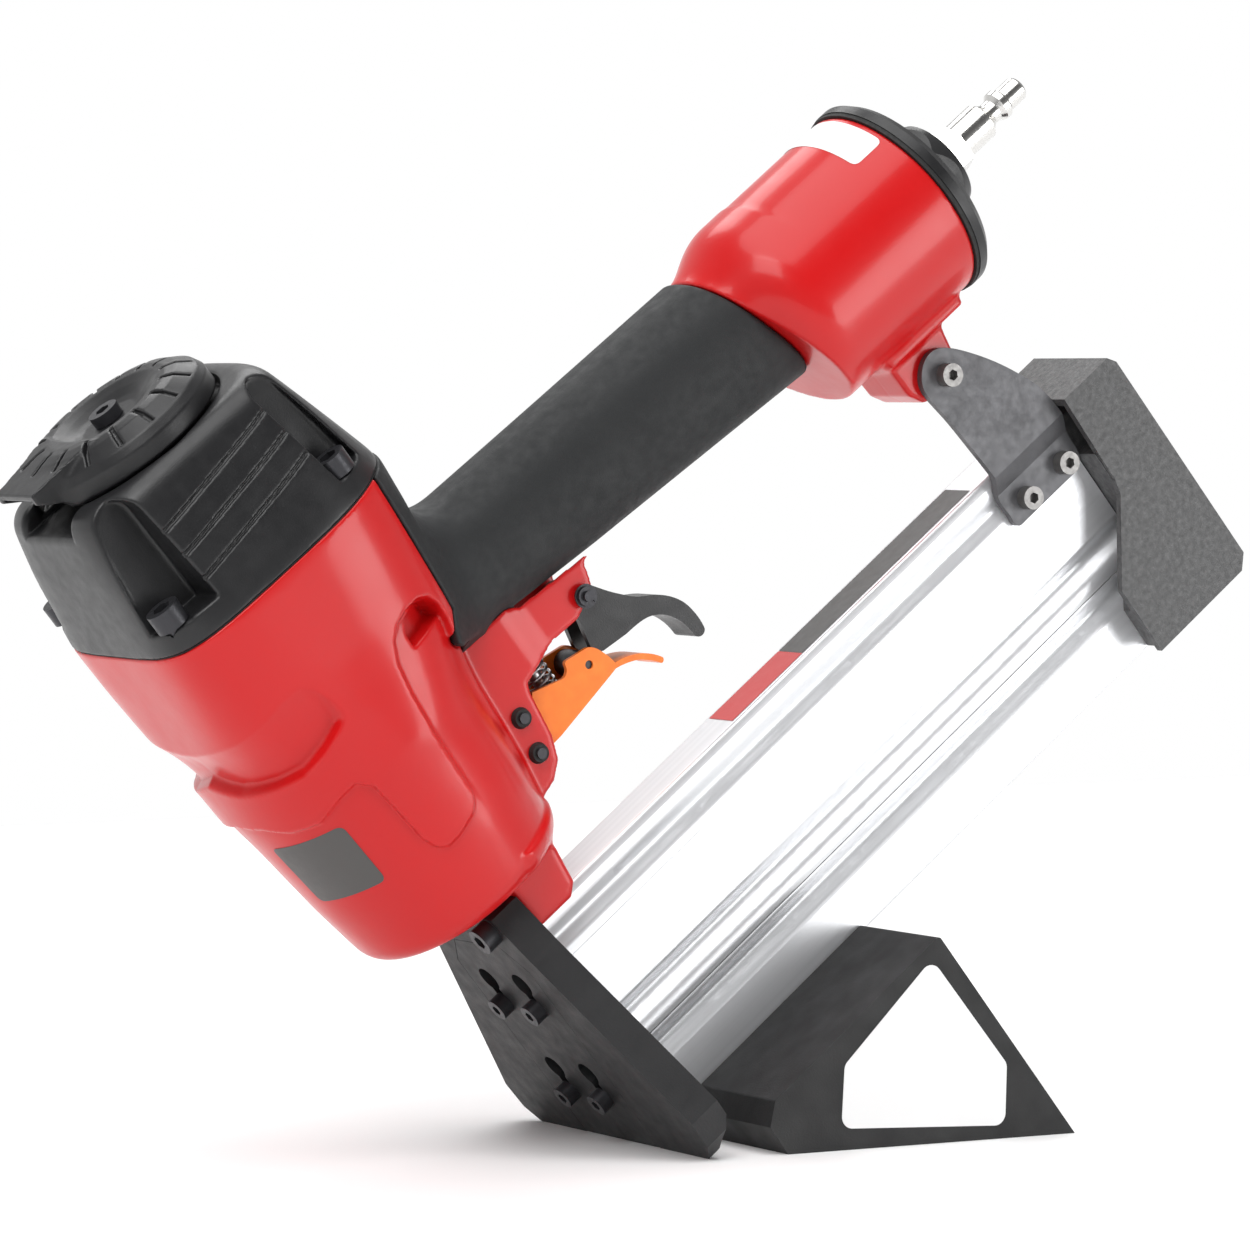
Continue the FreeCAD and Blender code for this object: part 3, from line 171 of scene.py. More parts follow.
def foot_black():
    moulded = Shader("foot_black", (0.014, 0.014, 0.0145), 0.6, specular=0.4)
    moulded.vary_color(moulded.noise(0.03, 4.0), (0.012, 0.012, 0.0125), (0.018, 0.018, 0.0185))
    moulded.vary_roughness(moulded.noise(0.1, 4.0), 0.52, 0.7)
    return moulded.bump((moulded.noise(1.8, 4.0), 0.06)).material


def brushed_aluminium():
    metal = Shader("brushed_aluminium", (0.79, 0.8, 0.82), 0.38, metallic=0.65)
    lines = metal.noise(1.6, 4.0, stretch=(0.01, 1.0, 1.0))
    metal.vary_roughness(lines, 0.33, 0.42)
    metal.vary_color(metal.noise(0.5, 3.0, stretch=(0.01, 1.0, 1.0)), (0.76, 0.77, 0.79), (0.82, 0.83, 0.85))
    return metal.bump((lines, 0.004)).material


def ground_steel():
    metal = Shader("ground_steel", (0.5, 0.5, 0.51), 0.32, metallic=1.0)
    metal.vary_roughness(metal.noise(1.2, 3.0, stretch=(0.05, 1.0, 1.0)), 0.25, 0.4)
    return metal.bump((metal.noise(2.0, 2.0), 0.01)).material


def black_oxide():
    metal = Shader("black_oxide", (0.045, 0.045, 0.05), 0.38, metallic=0.6)
    metal.vary_roughness(metal.noise(0.9, 3.0), 0.3, 0.48)
    return metal.bump((metal.noise(1.6, 3.0), 0.02)).material


def phosphate_plate():
    metal = Shader("phosphate_plate", (0.1, 0.1, 0.106), 0.46, metallic=0.4)
    metal.vary_color(metal.noise(0.12, 4.0), (0.085, 0.085, 0.09), (0.12, 0.12, 0.127))
    metal.vary_roughness(metal.noise(0.4, 4.0), 0.4, 0.55)
    return metal.bump((metal.noise(1.2, 4.0), 0.03)).material


def bolt_grey():
    metal = Shader("bolt_grey", (0.2, 0.195, 0.19), 0.36, metallic=0.7)
    metal.vary_roughness(metal.noise(0.9, 3.0), 0.3, 0.45)
    return metal.bump((metal.noise(1.6, 3.0), 0.02)).material


def nickel():
    metal = Shader("bright_nickel", (0.72, 0.71, 0.69), 0.16, metallic=1.0)
    metal.vary_roughness(metal.noise(0.5, 3.0), 0.12, 0.22)
    return metal.bump((metal.noise(1.5, 2.0), 0.008)).material


def orange_paint():
    paint = Shader("orange_paint", (0.92, 0.2, 0.012), 0.4, coat=0.15, coat_roughness=0.2, specular=0.3)
    paint.vary_color(paint.noise(0.2, 3.0), (0.88, 0.18, 0.01), (0.96, 0.225, 0.015))
    return paint.bump((paint.noise(0.8, 3.0), 0.03)).material


def gasket_black():
    rubber = Shader("gasket_black", (0.012, 0.012, 0.012), 0.7)
    rubber.vary_roughness(rubber.noise(1.0, 3.0), 0.6, 0.8)
    return rubber.bump((rubber.noise(3.0, 3.0), 0.02)).material


def white_vinyl():
    vinyl = Shader("white_vinyl", (0.8, 0.8, 0.8), 0.35)
    vinyl.vary_roughness(vinyl.noise(0.3, 3.0), 0.3, 0.42)
    return vinyl.bump((vinyl.noise(0.4, 2.0), 0.02)).material


def charcoal_vinyl():
    vinyl = Shader("charcoal_vinyl", (0.075, 0.073, 0.07), 0.42)
    vinyl.vary_roughness(vinyl.noise(0.3, 3.0), 0.36, 0.48)
    return vinyl.bump((vinyl.noise(0.4, 2.0), 0.02)).material


def red_vinyl():
    vinyl = Shader("red_vinyl", (0.62, 0.045, 0.045), 0.4)
    vinyl.vary_roughness(vinyl.noise(0.3, 3.0), 0.35, 0.45)
    return vinyl.bump((vinyl.noise(0.4, 2.0), 0.02)).material


def brass():
    metal = Shader("seal_brass", (0.65, 0.45, 0.18), 0.3, metallic=1.0)
    metal.vary_roughness(metal.noise(0.8, 3.0), 0.25, 0.4)
    return metal.bump((metal.noise(1.5, 2.0), 0.01)).material


RED = red_enamel()
MOULDED = moulded_black()
RUBBER = grip_rubber()
POWDER = powder_black()
WRINKLE = wrinkle_grey()
FOOT = foot_black()
ALUMINIUM = brushed_aluminium()
STEEL = ground_steel()
OXIDE = black_oxide()
PLATE = phosphate_plate()
BOLT = bolt_grey()
NICKEL = nickel()
ORANGE = orange_paint()
GASKET = gasket_black()
VINYL = white_vinyl()
CHARCOAL = charcoal_vinyl()
RED_VINYL = red_vinyl()
BRASS = brass()

NODE_MATERIALS = {
    "nose_shoe": POWDER,
    "nose_plate": POWDER,
    "nose_screws": OXIDE,
    "shoe_screws": OXIDE,
    "housing": RED,
    "grip_sleeve": RUBBER,
    "cylinder_cap": MOULDED,
    "cap_gasket": GASKET,
    "cap_screws": OXIDE,
    "exhaust_deflector": MOULDED,
    "deflector_screw": OXIDE,
    "cylinder_sleeve": ALUMINIUM,
    "piston": ALUMINIUM,
    "piston_ring": GASKET,
    "driver_blade": STEEL,
    "bumper": GASKET,
    "head_valve": MOULDED,
    "head_valve_spring": STEEL,
    "end_cap_gasket": GASKET,
    "end_cap": MOULDED,
    "inlet_seal": BRASS,
    "air_plug": NICKEL,
    "trigger_bracket": RED,
    "trigger": ORANGE,
    "trigger_roller": OXIDE,
    "roller_pin": OXIDE,
    "trigger_pin": OXIDE,
    "bracket_pin": OXIDE,
    "pin_collars": GASKET,
    "interlock_lever": MOULDED,
    "interlock_pin": OXIDE,
    "retaining_clips": OXIDE,
    "valve_body": MOULDED,
    "valve_stem": STEEL,
    "trigger_spring": STEEL,
    "magazine_rail": ALUMINIUM,
    "magazine_track": ALUMINIUM,
    "nail_pusher": STEEL,
    "pusher_spring": STEEL,
    "rear_bracket": PLATE,
    "bracket_bolts": BOLT,
    "tail_casting": WRINKLE,
    "foot": FOOT,
    "foot_bar": STEEL,
    "foot_label": VINYL,
}
for name, material in NODE_MATERIALS.items():
    mesh = nodes[name].data
    mesh.materials.clear()
    mesh.materials.append(material)


# ---- cast and moulded shapes, as signed distances --------------------------------
#
# A shape is an array of distances to its surface, in millimetres, below zero inside it.
# Everything here is the same on both sides of the middle plane, so y is never negative.


class Grid:
    """An even grid of points over one half of a piece, in the tool's axes."""

    def __init__(self, x, y_high, z, step):
        self.low = (x[0], 0.0, z[0])
        self.step = step
        axes = [np.arange(a, b, step, dtype=np.float32) for a, b in (x, (0.0, y_high), z)]
        self.x = axes[0][:, None, None]
        self.y = axes[1][None, :, None]
        self.z = axes[2][None, None, :]
        self.shape = tuple(len(axis) for axis in axes)


def soft_max(a, b, radius):
    """The larger of two fields, with the corner between them rounded."""
    share = np.clip(0.5 + 0.5 * (a - b) / radius, 0.0, 1.0)
    return b + share * (a - b) + radius * share * (1.0 - share)


def soft_min(a, b, radius):
    return -soft_max(-a, -b, radius)


def carve(shape, tool, radius=0.4):
    return soft_max(shape, -tool, radius)


def ramp(value, low, high):
    """0 up to low, 1 from high, and smooth in between."""
    t = np.clip((value - low) / (high - low), 0.0, 1.0)
    return t * t * (3.0 - 2.0 * t)


def box_field(grid, x, y, z, radius=0.0):
    """A box given by its low and high value along each axis, with rounded edges."""
    gaps = []
    for value, (low, high) in zip((grid.x, grid.y, grid.z), (x, y, z)):
        gaps.append(np.abs(value - (low + high) / 2) - ((high - low) / 2 - radius))
    outside = np.sqrt(sum(np.maximum(gap, 0.0) ** 2 for gap in gaps))
    return outside + np.minimum(np.maximum(np.maximum(gaps[0], gaps[1]), gaps[2]), 0.0) - radius


def polygon_field(u, v, corners):
    """The signed distance in a plane to a closed outline of corners."""
    nearest = None
    inside = None
    count = len(corners)
    for i in range(count):
        (u0, v0), (u1, v1) = corners[i], corners[(i + 1) % count]
        du, dv = u1 - u0, v1 - v0
        share = np.clip(((u - u0) * du + (v - v0) * dv) / (du * du + dv * dv), 0.0, 1.0)
        gap = (u - u0 - share * du) ** 2 + (v - v0 - share * dv) ** 2
        crossing = ((v0 <= v) != (v1 <= v)) & (u < u0 + (v - v0) * du / (dv if dv else 1.0))
        nearest = gap if nearest is None else np.minimum(nearest, gap)
        inside = crossing if inside is None else inside ^ crossing
    return np.where(inside, -1.0, 1.0) * np.sqrt(nearest)


def slab_field(grid, corners, y_low, y_high, radius=0.5):
    """An outline in x and z that spans y_low..y_high."""
    side = np.maximum(grid.y - y_high, y_low - grid.y)
    return soft_max(polygon_field(grid.x, grid.z, corners), side, radius)


def add_mesh_object(name, mesh, material):
    """Make a smooth-shaded object of a mesh and put it in the scene."""
    mesh.shade_smooth()
    mesh.materials.append(material)
    piece = bpy.data.objects.new(name, mesh)
    bpy.context.scene.collection.objects.link(piece)
    return piece


def new_piece(name, islands, material):
    """Make one mesh object from fields; each island is a grid and its distances."""
    points, faces = [], []
    for grid, field in islands:
        whole = np.concatenate([field[:, :0:-1, :], field], axis=1).astype(np.float32)
        volume = openvdb.FloatGrid(background=float(whole.max()))
        volume.copyFromArray(np.ascontiguousarray(whole))
        corners, triangles, quads = volume.convertToPolygons(isovalue=0.0, adaptivity=0.0)
        middle = field.shape[1] - 1
        start = sum(len(block) for block in points)
        offset = np.array([grid.low[0], -middle * grid.step, grid.low[2]])
        points.append(np.asarray(corners, dtype=float) * grid.step + offset)
        faces += [tuple(int(i) + start for i in face) for face in list(triangles) + list(quads)]
    mesh = bpy.data.meshes.new(name)
    mesh.from_pydata(np.concatenate(points).tolist(), [], faces)
    mesh.transform(TOOL)
    if signed_volume(mesh) < 0.0:
        mesh.flip_normals()
    return add_mesh_object(name, mesh, material)


def signed_volume(mesh):
    """The volume a closed mesh holds, below zero when its faces point inwards."""
    co = np.empty(len(mesh.vertices) * 3, dtype=np.float32)
    mesh.vertices.foreach_get("co", co)
    co = co.reshape(-1, 3)
    mesh.calc_loop_triangles()
    index = np.empty(len(mesh.loop_triangles) * 3, dtype=np.int32)
    mesh.loop_triangles.foreach_get("vertices", index)
    a, b, c = (co[index.reshape(-1, 3)[:, k]] for k in range(3))
    return float(np.einsum("ij,ij->i", a, np.cross(b, c)).sum()) / 6.0


# ---- the barrel's outside, shared by the housing, the handle's rubber and the cap ---------

# the height where the cap meets the casting
SEAM = 165.9
# the reach that turns the column's superellipses into rough distances
BARREL_MEAN_REACH = 41.0
# how far the lower barrel and the channel lie below the belt
PANEL_STEP = 1.6
# height up the drive axis, and there the reach to the front, to the rear and to the side
BARREL_HEIGHTS = [42.0, 48.0, 66.0, 92.0, 101.0, 114.0, 125.0, 134.0, 150.0, 166.0, 190.0, 204.0, 214.0]
FRONT_REACH = [33.4, 35.2, 38.2, 41.2, 42.6, 42.4, 41.8, 41.3, 40.9, 40.6, 37.8, 35.6, 33.6]
REAR_REACH = [33.4, 35.2, 38.2, 41.2, 43.0, 46.0, 48.0, 49.2, 50.8, 52.0, 44.4, 40.0, 37.0]
SIDE_REACH = [33.4, 35.2, 38.2, 41.2, 42.6, 42.6, 42.6, 42.8, 43.8, 44.9, 40.6, 36.8, 34.0]
FRONT_SQUARENESS = [2.0, 2.0, 2.0, 2.0, 2.05, 2.3, 3.0, 3.7, 4.6, 5.0, 5.0, 4.6, 4.2]
REAR_SQUARENESS = [2.0, 2.0, 2.0, 2.0, 2.05, 2.35, 2.5, 2.55, 2.65, 2.7, 3.2, 3.6, 3.4]
WIDEST = [0.0, 0.0, 0.0, 0.0, 0.2, 1.6, 2.6, 3.4, 4.8, 6.0, 5.0, 4.0, 3.0]


def barrel_field(grid):
    """The rounded, tapering column of the head, from its foot to above the cap's top."""
    every_height = np.arange(30.0, 226.0)
    kernel = np.hanning(13)[1:-1]
    kernel = kernel / kernel.sum()
    overhang = len(kernel) // 2

    def along(values):
        """A table of the barrel's heights, smoothed and read off at the grid's heights."""
        fine = np.interp(every_height, BARREL_HEIGHTS, values)
        fine = np.convolve(np.pad(fine, overhang, mode="edge"), kernel, mode="valid")
        return np.interp(grid.z, every_height, fine).astype(np.float32)

    middle = along(WIDEST)
    across = grid.x - middle
    front = across < 0.0
    reach = np.where(front, along(FRONT_REACH) + middle, along(REAR_REACH) - middle)
    power = np.where(front, along(FRONT_SQUARENESS), along(REAR_SQUARENESS))
    side = along(SIDE_REACH)
    spread = (np.abs(across) / reach) ** power + (grid.y / side) ** power
    return (spread ** (1.0 / power) - 1.0) * BARREL_MEAN_REACH


SADDLE_WINDOW = [
    (39.8, 170.0), (38.0, 118.7), (33.4, 114.6), (31.8, 111.2), (33.4, 108.6),
    (37.5, 107.2), (47.3, 107.0), (56.0, 103.0), (62.0, 99.0), (95.0, 96.0), (95.0, 170.0),
]
RUBBER_THICK = 3.4
VALVE_X = 57.5
# half the distance between two cap screws along x, and each screw's distance from the middle plane
CAP_SCREWS = (32.75, 34.8)


def angle_round(grid):
    """Degrees round the drive axis: 0 at the rear, 90 at the side, 180 at the front."""
    return np.degrees(np.arctan2(grid.y, grid.x))


CHANNEL = [
    (7.0, 50.0), (6.6, 80.0), (6.8, 100.0), (8.2, 113.0), (10.2, 122.5), (13.4, 128.4), (17.5, 131.4), (22.5, 132.5),
    (28.0, 132.0), (32.0, 129.4), (34.0, 125.0), (34.2, 119.0), (33.0, 114.5), (36.0, 111.0),
    (60.0, 108.0), (60.0, 50.0),
]
HOLLOW = [(18.6, 121.0), (18.8, 126.0), (21.5, 129.6), (26.5, 130.8), (31.0, 128.8), (33.2, 125.0), (33.2, 121.0)]
# degrees round from the rear, and there the heights that bound the scoop and the step below the belt
SCOOP_ANGLES = [104.0, 106.0, 108.5, 112.0, 118.0, 130.0, 142.0, 160.0, 174.0, 180.0]
SCOOP_TOP = [127.0, 130.5, 134.4, 137.2, 137.6, 135.0, 133.2, 131.6, 130.4, 130.4]
SCOOP_LOW = [123.0, 122.4, 121.5, 120.4, 118.3, 115.4, 115.6, 117.0, 119.5, 120.5]
STEP_ANGLES = [70, 79, 81, 84, 96, 102, 106, 109, 110.5, 112, 117, 125, 138, 152, 164, 180]
STEP_HEIGHTS = [84, 79, 75.5, 73.3, 71, 70.6, 72.5, 77.5, 90, 100, 103.7, 102.4, 98.5, 99.2, 102.7, 104]


def barrel_relief(grid):
    """How far the casting's sunk panels lie below the barrel's outside."""
    angle = angle_round(grid)
    height = grid.z
    # a scoop on the front half: it deepens downwards and ends in a crease
    low = np.interp(angle, SCOOP_ANGLES, SCOOP_LOW)
    top = np.interp(angle, SCOOP_ANGLES, SCOOP_TOP)
    depth = np.clip((top - height) / (top - low), 0.0, 1.0)
    scoop = 3.3 * (1.0 - (1.0 - depth) ** 1.8) * ramp(height, low - 1.8, low + 0.6) * ramp(angle, 104.0, 110.0)
    # the lower barrel lies a step below the nameplate pad and the belt above it
    step = np.interp(angle, STEP_ANGLES, STEP_HEIGHTS)
    lower = PANEL_STEP * ramp(height, step + 0.8, step - 0.8) * ramp(angle, 68.0, 76.0)
    # behind the pad a channel runs up to a rounded end below the handle's saddle
    channel_depth = np.interp(height, [55.0, 72.0, 112.0], [PANEL_STEP, PANEL_STEP, 2.8])
    channel = channel_depth * ramp(polygon_field(grid.x, height, CHANNEL), 0.3, -1.9)
    hollow = 4.4 * ramp(polygon_field(grid.x, height, HOLLOW), 0.2, -1.9)
    return scoop + np.maximum(lower, channel) + hollow


CHEEK = [
    (20.0, 104.0), (62.0, 104.0), (93.2, 100.8), (92.0, 96.8), (86.4, 94.8), (85.3, 91.0), (84.0, 87.5),
    (79.5, 85.2), (74.2, 83.2), (64.0, 83.8), (54.0, 81.4), (49.8, 80.2), (48.7, 77.6), (46.5, 63.7),
    (43.6, 56.7), (38.7, 52.8), (30.0, 50.6), (20.0, 50.0),
]
LEG = [(4.7, 66.0), (4.7, 25.9), (19.0, 25.9), (22.6, 29.0), (24.2, 40.0), (24.2, 66.0)]
BRACKET_PIN = (41.4, 74.2)
TRIGGER_PIN = (39.4, 62.7)
LEVER_PIN = (79.7, 87.8)
PIN_HOLE_RADIUS = 1.62


def housing_barrel():
    """The casting's head: barrel, nose leg and trigger cheeks, with the openings cut in them."""
    grid = Grid((-48.0, 90.0), 49.0, (22.0, 168.0), 0.62)
    outside = barrel_field(grid)
    body = outside + barrel_relief(grid)
    body = soft_max(body, 43.4 - grid.z, 6.0)
    leg = slab_field(grid, LEG, -1.0, 21.0, 2.5)
    body = soft_min(body, leg, 2.5)
    edge = 13.0 - 1.5 * ramp(grid.x, 53.4, 63.5)
    cheek = soft_max(polygon_field(grid.x, grid.z, CHEEK), grid.y - edge, 1.2)
    body = soft_min(body, cheek, 1.6)
    rubber_room = np.maximum(polygon_field(grid.x, grid.z, SADDLE_WINDOW) - 0.25, -(outside + RUBBER_THICK))
    body = carve(body, rubber_room, 0.5)
    body = carve(body, np.maximum(handle_field(grid) - 0.05, 33.0 - grid.x), 0.4)
    gap = np.maximum(np.maximum(5.9 - grid.y, grid.y - 10.6), 28.0 - grid.x)
    wide_gap = np.maximum(grid.y - 10.6, 46.4 - grid.x)
    body = carve(body, np.minimum(gap, wide_gap), 0.5)
    from_axis = np.hypot(grid.x, grid.y)
    bore = np.maximum(from_axis - np.interp(grid.z, [50.0, 66.0, 99.0], [30.0, 30.6, 35.4]), 50.0 - grid.z)
    body = carve(body, bore, 0.6)
    body = carve(body, from_axis - 7.0, 0.5)
    for x, z in (BRACKET_PIN, TRIGGER_PIN, LEVER_PIN):
        body = carve(body, np.hypot(grid.x - x, grid.z - z) - PIN_HOLE_RADIUS, 0.3)
    body = carve(body, np.maximum(np.hypot(grid.x - VALVE_X, grid.y) - 7.1, 90.0 - grid.z), 0.3)
    for x in (-CAP_SCREWS[0], CAP_SCREWS[0]):
        body = carve(body, np.maximum(np.hypot(grid.x - x, grid.y - CAP_SCREWS[1]) - 3.05, 160.0 - grid.z), 0.3)
    body = carve(body, np.maximum(np.hypot(grid.y - 17.0, grid.z - 34.5) - 2.5, grid.x - 15.5), 0.3)
    return grid, soft_max(body, grid.z - (SEAM - 0.4), 0.5)


LUG = [
    (200.5, 80.0), (201.8, 72.0), (202.3, 62.5), (205.2, 57.6), (211.5, 55.0),
    (218.6, 56.2), (222.6, 61.0), (223.4, 66.5), (226.0, 80.0),
]
LUG_HOLE = (214.8, 60.5)
CHAMBER_AXIS_Z = 106.4
CHAMBER_RADIUS = 32.9
CHAMBER_FRONT = 172.0
CHAMBER_SHOULDER = 16.0


def rubber_end(grid):
    """The slanted plane at the rear of the handle's rubber, below zero in front of it."""
    return (grid.x - 166.4) * 0.95 + (grid.z - 134.0) * 0.314


def housing_chamber():
    """The casting's rear air chamber with its pad and lug, on the core of the handle."""
    grid = Grid((160.0, 242.0), 36.0, (50.0, 143.0), 0.62)
    from_axis = np.hypot(grid.y, grid.z - CHAMBER_AXIS_Z)
    shoulder_end = CHAMBER_FRONT + CHAMBER_SHOULDER
    past_flat = np.maximum(from_axis - (CHAMBER_RADIUS - CHAMBER_SHOULDER), 0.0)
    rounded = np.hypot(past_flat, shoulder_end - grid.x) - CHAMBER_SHOULDER
    can = np.where(grid.x < shoulder_end, rounded, from_axis - CHAMBER_RADIUS)
    pad = box_field(grid, (201.2, 233.0), (-15.0, 15.0), (73.4, 90.0), 1.0)
    can = soft_min(can, pad, 2.5)
    lug = slab_field(grid, LUG, -1.0, 11.8, 1.5)
    can = soft_min(can, lug, 3.0)
    can = soft_min(can, np.maximum(handle_field(grid) + 0.9, grid.x - 190.0), 9.0)
    can = soft_max(can, 0.3 - rubber_end(grid), 0.6)
    core = np.maximum(handle_field(grid) + RUBBER_THICK + 0.2, 161.0 - grid.x)
    can = np.minimum(can, np.maximum(core, grid.x - 200.0))
    can = carve(can, np.maximum(from_axis - 28.9, 186.0 - grid.x), 0.6)
    can = carve(can, np.hypot(grid.x - LUG_HOLE[0], grid.z - LUG_HOLE[1]) - 2.0, 0.3)
    return grid, soft_max(can, grid.x - 239.0, 0.8)


def handle_field(grid):
    """The rubber-covered handle, before its ends are trimmed."""
    x = grid.x
    top = np.interp(x, [30.0, 55.0, 66.0, 90.0, 166.0, 190.0], [139.0, 138.0, 137.0, 136.4, 134.6, 134.0])
    bottom = np.interp(x, [30.0, 62.0, 95.0, 181.0, 190.0], [99.0, 97.6, 94.6, 88.4, 87.8])
    half_width = np.interp(x, [30.0, 62.0, 110.0, 181.0], [19.5, 18.2, 18.4, 20.6])
    middle = (top + bottom) / 2
    half_height = (top - bottom) / 2
    squareness, mean_reach = 2.35, 19.0
    spread = (grid.y / half_width) ** squareness + (np.abs(grid.z - middle) / half_height) ** squareness
    return ((spread ** (1.0 / squareness) - 1.0) * mean_reach).astype(np.float32)


def grip_rubber_field():
    """The rubber over the handle, with the saddle that wraps the rear of the barrel."""
    grid = Grid((27.0, 188.0), 50.0, (84.0, 168.0), 0.62)
    outside = barrel_field(grid)
    window = polygon_field(grid.x, grid.z, SADDLE_WINDOW)
    saddle = soft_max(soft_max(outside - 0.5, window, 1.6), grid.z - SEAM + 0.1, 1.0)
    handle = soft_max(handle_field(grid), 36.0 - grid.x, 1.0)
    whole = soft_min(saddle, handle, 13.0)
    behind_cap = (grid.x - 54.0 - 0.34 * (SEAM - grid.z)) * 0.94
    whole = soft_max(whole, np.minimum(behind_cap, grid.z - 139.5), 2.5)
    whole = soft_max(whole, grid.z - SEAM + 0.1, 0.8)
    whole = np.maximum(whole, np.minimum(window, 38.0 - grid.x))
    whole = soft_max(whole, rubber_end(grid), 1.6)
    whole = carve(whole, outside + RUBBER_THICK - 0.1, 0.4)
    whole = carve(whole, np.maximum(np.hypot(grid.x - VALVE_X, grid.y) - 7.4, grid.z - 103.5), 0.3)
    return grid, whole


def cap_field():
    """The head's cap: screw pockets, side grooves and the round seat of the exhaust cover."""
    grid = Grid((-45.0, 58.0), 48.0, (163.0, 212.0), 0.46)
    outside = barrel_field(grid)
    cap = soft_max(outside, grid.z - 210.2, 6.5)
    for side in (-1.0, 1.0):
        reach = side * grid.x
        fall = 205.0 - grid.z
        middle = (26.8 + 0.075 * fall) if side < 0 else (30.0 + 0.16 * fall)
        half = (6.3 + 0.09 * fall) if side < 0 else (4.8 + 0.02 * fall)
        arch = np.hypot(reach - middle, np.maximum(grid.z - 204.0, 0.0)) - half
        pocket = soft_max(arch, np.maximum(27.2 + 0.05 * fall - grid.y, 173.0 - grid.z), 1.2)
        barrel_screw = np.hypot(reach - CAP_SCREWS[0], grid.y - CAP_SCREWS[1]) - 6.2
        pocket = soft_min(pocket, soft_max(barrel_screw, 173.0 - grid.z, 0.5), 1.2)
        cap = carve(cap, pocket, 1.0)
        cap = carve(cap, np.hypot(reach - CAP_SCREWS[0], grid.y - CAP_SCREWS[1]) - 3.1, 0.2)
    for line in (181.7, 189.9, 198.1):
        from_line = np.abs(grid.z - line - 0.13 * grid.x)
        groove = np.maximum(np.maximum(from_line - 0.55, -(outside + 0.9)), np.abs(grid.x - 1.0) - 26.0)
        cap = carve(cap, np.maximum(groove, 25.0 - grid.y), 0.5)
    from_axis = np.hypot(grid.x, grid.y)
    cap = carve(cap, soft_max(from_axis - 31.2, 206.2 - grid.z, 0.6), 0.8)
    notch = np.maximum(np.maximum(grid.y - 15.5, grid.x + 20.0), 204.6 - grid.z)
    cap = carve(cap, notch, 2.0)
    cap = carve(cap, np.maximum(from_axis - 30.0, grid.z - 190.0), 0.5)
    cap = carve(cap, from_axis - 2.6, 0.3)
    return grid, soft_max(cap, SEAM + 0.1 - grid.z, 0.4)


def gasket_field():
    """The thin gasket in the seam between the cap and the barrel."""
    grid = Grid((-45.0, 58.0), 48.0, (164.6, 167.0), 0.2)
    sheet = soft_max(barrel_field(grid) + 0.25, 30.4 - np.hypot(grid.x, grid.y), 0.2)
    sheet = np.maximum(sheet, np.abs(grid.z - (SEAM - 0.15)) - 0.2)
    for x in (-CAP_SCREWS[0], CAP_SCREWS[0]):
        sheet = np.maximum(sheet, 3.2 - np.hypot(grid.x - x, grid.y - CAP_SCREWS[1]))
    return grid, sheet


DISC = [
    (2.95, 211.0), (12.0, 211.0), (14.0, 209.2), (28.0, 209.2), (30.0, 210.6), (30.0, 215.2), (28.6, 217.8),
    (24.0, 220.8), (21.0, 221.6), (18.0, 221.4), (14.5, 220.2), (11.5, 218.8), (9.0, 218.15), (2.95, 218.05),
]


def deflector_field():
    """The turning exhaust cover: a dished disc with notches round its rim, and a spout."""
    grid = Grid((-46.0, 33.0), 33.0, (207.0, 224.5), 0.4)
    from_axis = np.hypot(grid.x, grid.y)
    disc = polygon_field(from_axis, grid.z, DISC) - 0.35
    rise = np.interp(grid.x, [-38.0, -30.0, -22.0, -14.0], [220.4, 221.0, 221.6, 221.9])
    half = np.interp(grid.x, [-38.0, -30.0, -14.0], [12.4, 13.4, 16.5])
    under = np.interp(grid.x, [-36.0, -30.0, -24.0], [217.4, 213.4, 209.2])
    spout = np.maximum(np.maximum(grid.z - rise, under - grid.z), np.maximum(grid.y - half, -36.0 - grid.x))
    spout = soft_max(spout, grid.x + 14.0, 0.5)
    whole = soft_min(disc, spout, 2.4)
    duct = np.maximum(grid.y - half + 2.4, grid.z - rise + 2.2)
    duct = np.maximum(np.maximum(duct, grid.x + 24.0), 208.0 - grid.z)
    whole = carve(whole, duct, 0.8)
    spokes = 16
    turn = np.arctan2(grid.y, grid.x) * spokes / (2 * np.pi)
    off_spoke = np.abs(turn - np.round(turn)) * 2 * np.pi / spokes * from_axis
    cut_floor = np.interp(from_axis, [19.0, 24.0, 28.6, 30.0], [220.9, 219.9, 216.8, 215.6])
    notch = np.maximum(np.maximum(off_spoke - 0.7, cut_floor - grid.z), 19.6 - from_axis)
    whole = carve(whole, np.maximum(notch, from_axis - 28.0), 0.4)
    return grid, whole


def rounded_outline(corners, radius, steps=6):
    """The points of a closed outline with its corners rounded."""
    points = []
    count = len(corners)
    for i in range(count):
        before, corner, after = (Vector(corners[(i + k) % count]) for k in (-1, 0, 1))
        to_before = (before - corner).normalized()
        to_after = (after - corner).normalized()
        half = to_before.angle(to_after) / 2
        reach = radius / math.tan(half)
        start, end = corner + to_before * reach, corner + to_after * reach
        for k in range(steps + 1):
            t = k / steps
            points.append(start.lerp(corner, t).lerp(corner.lerp(end, t), t))
    return points


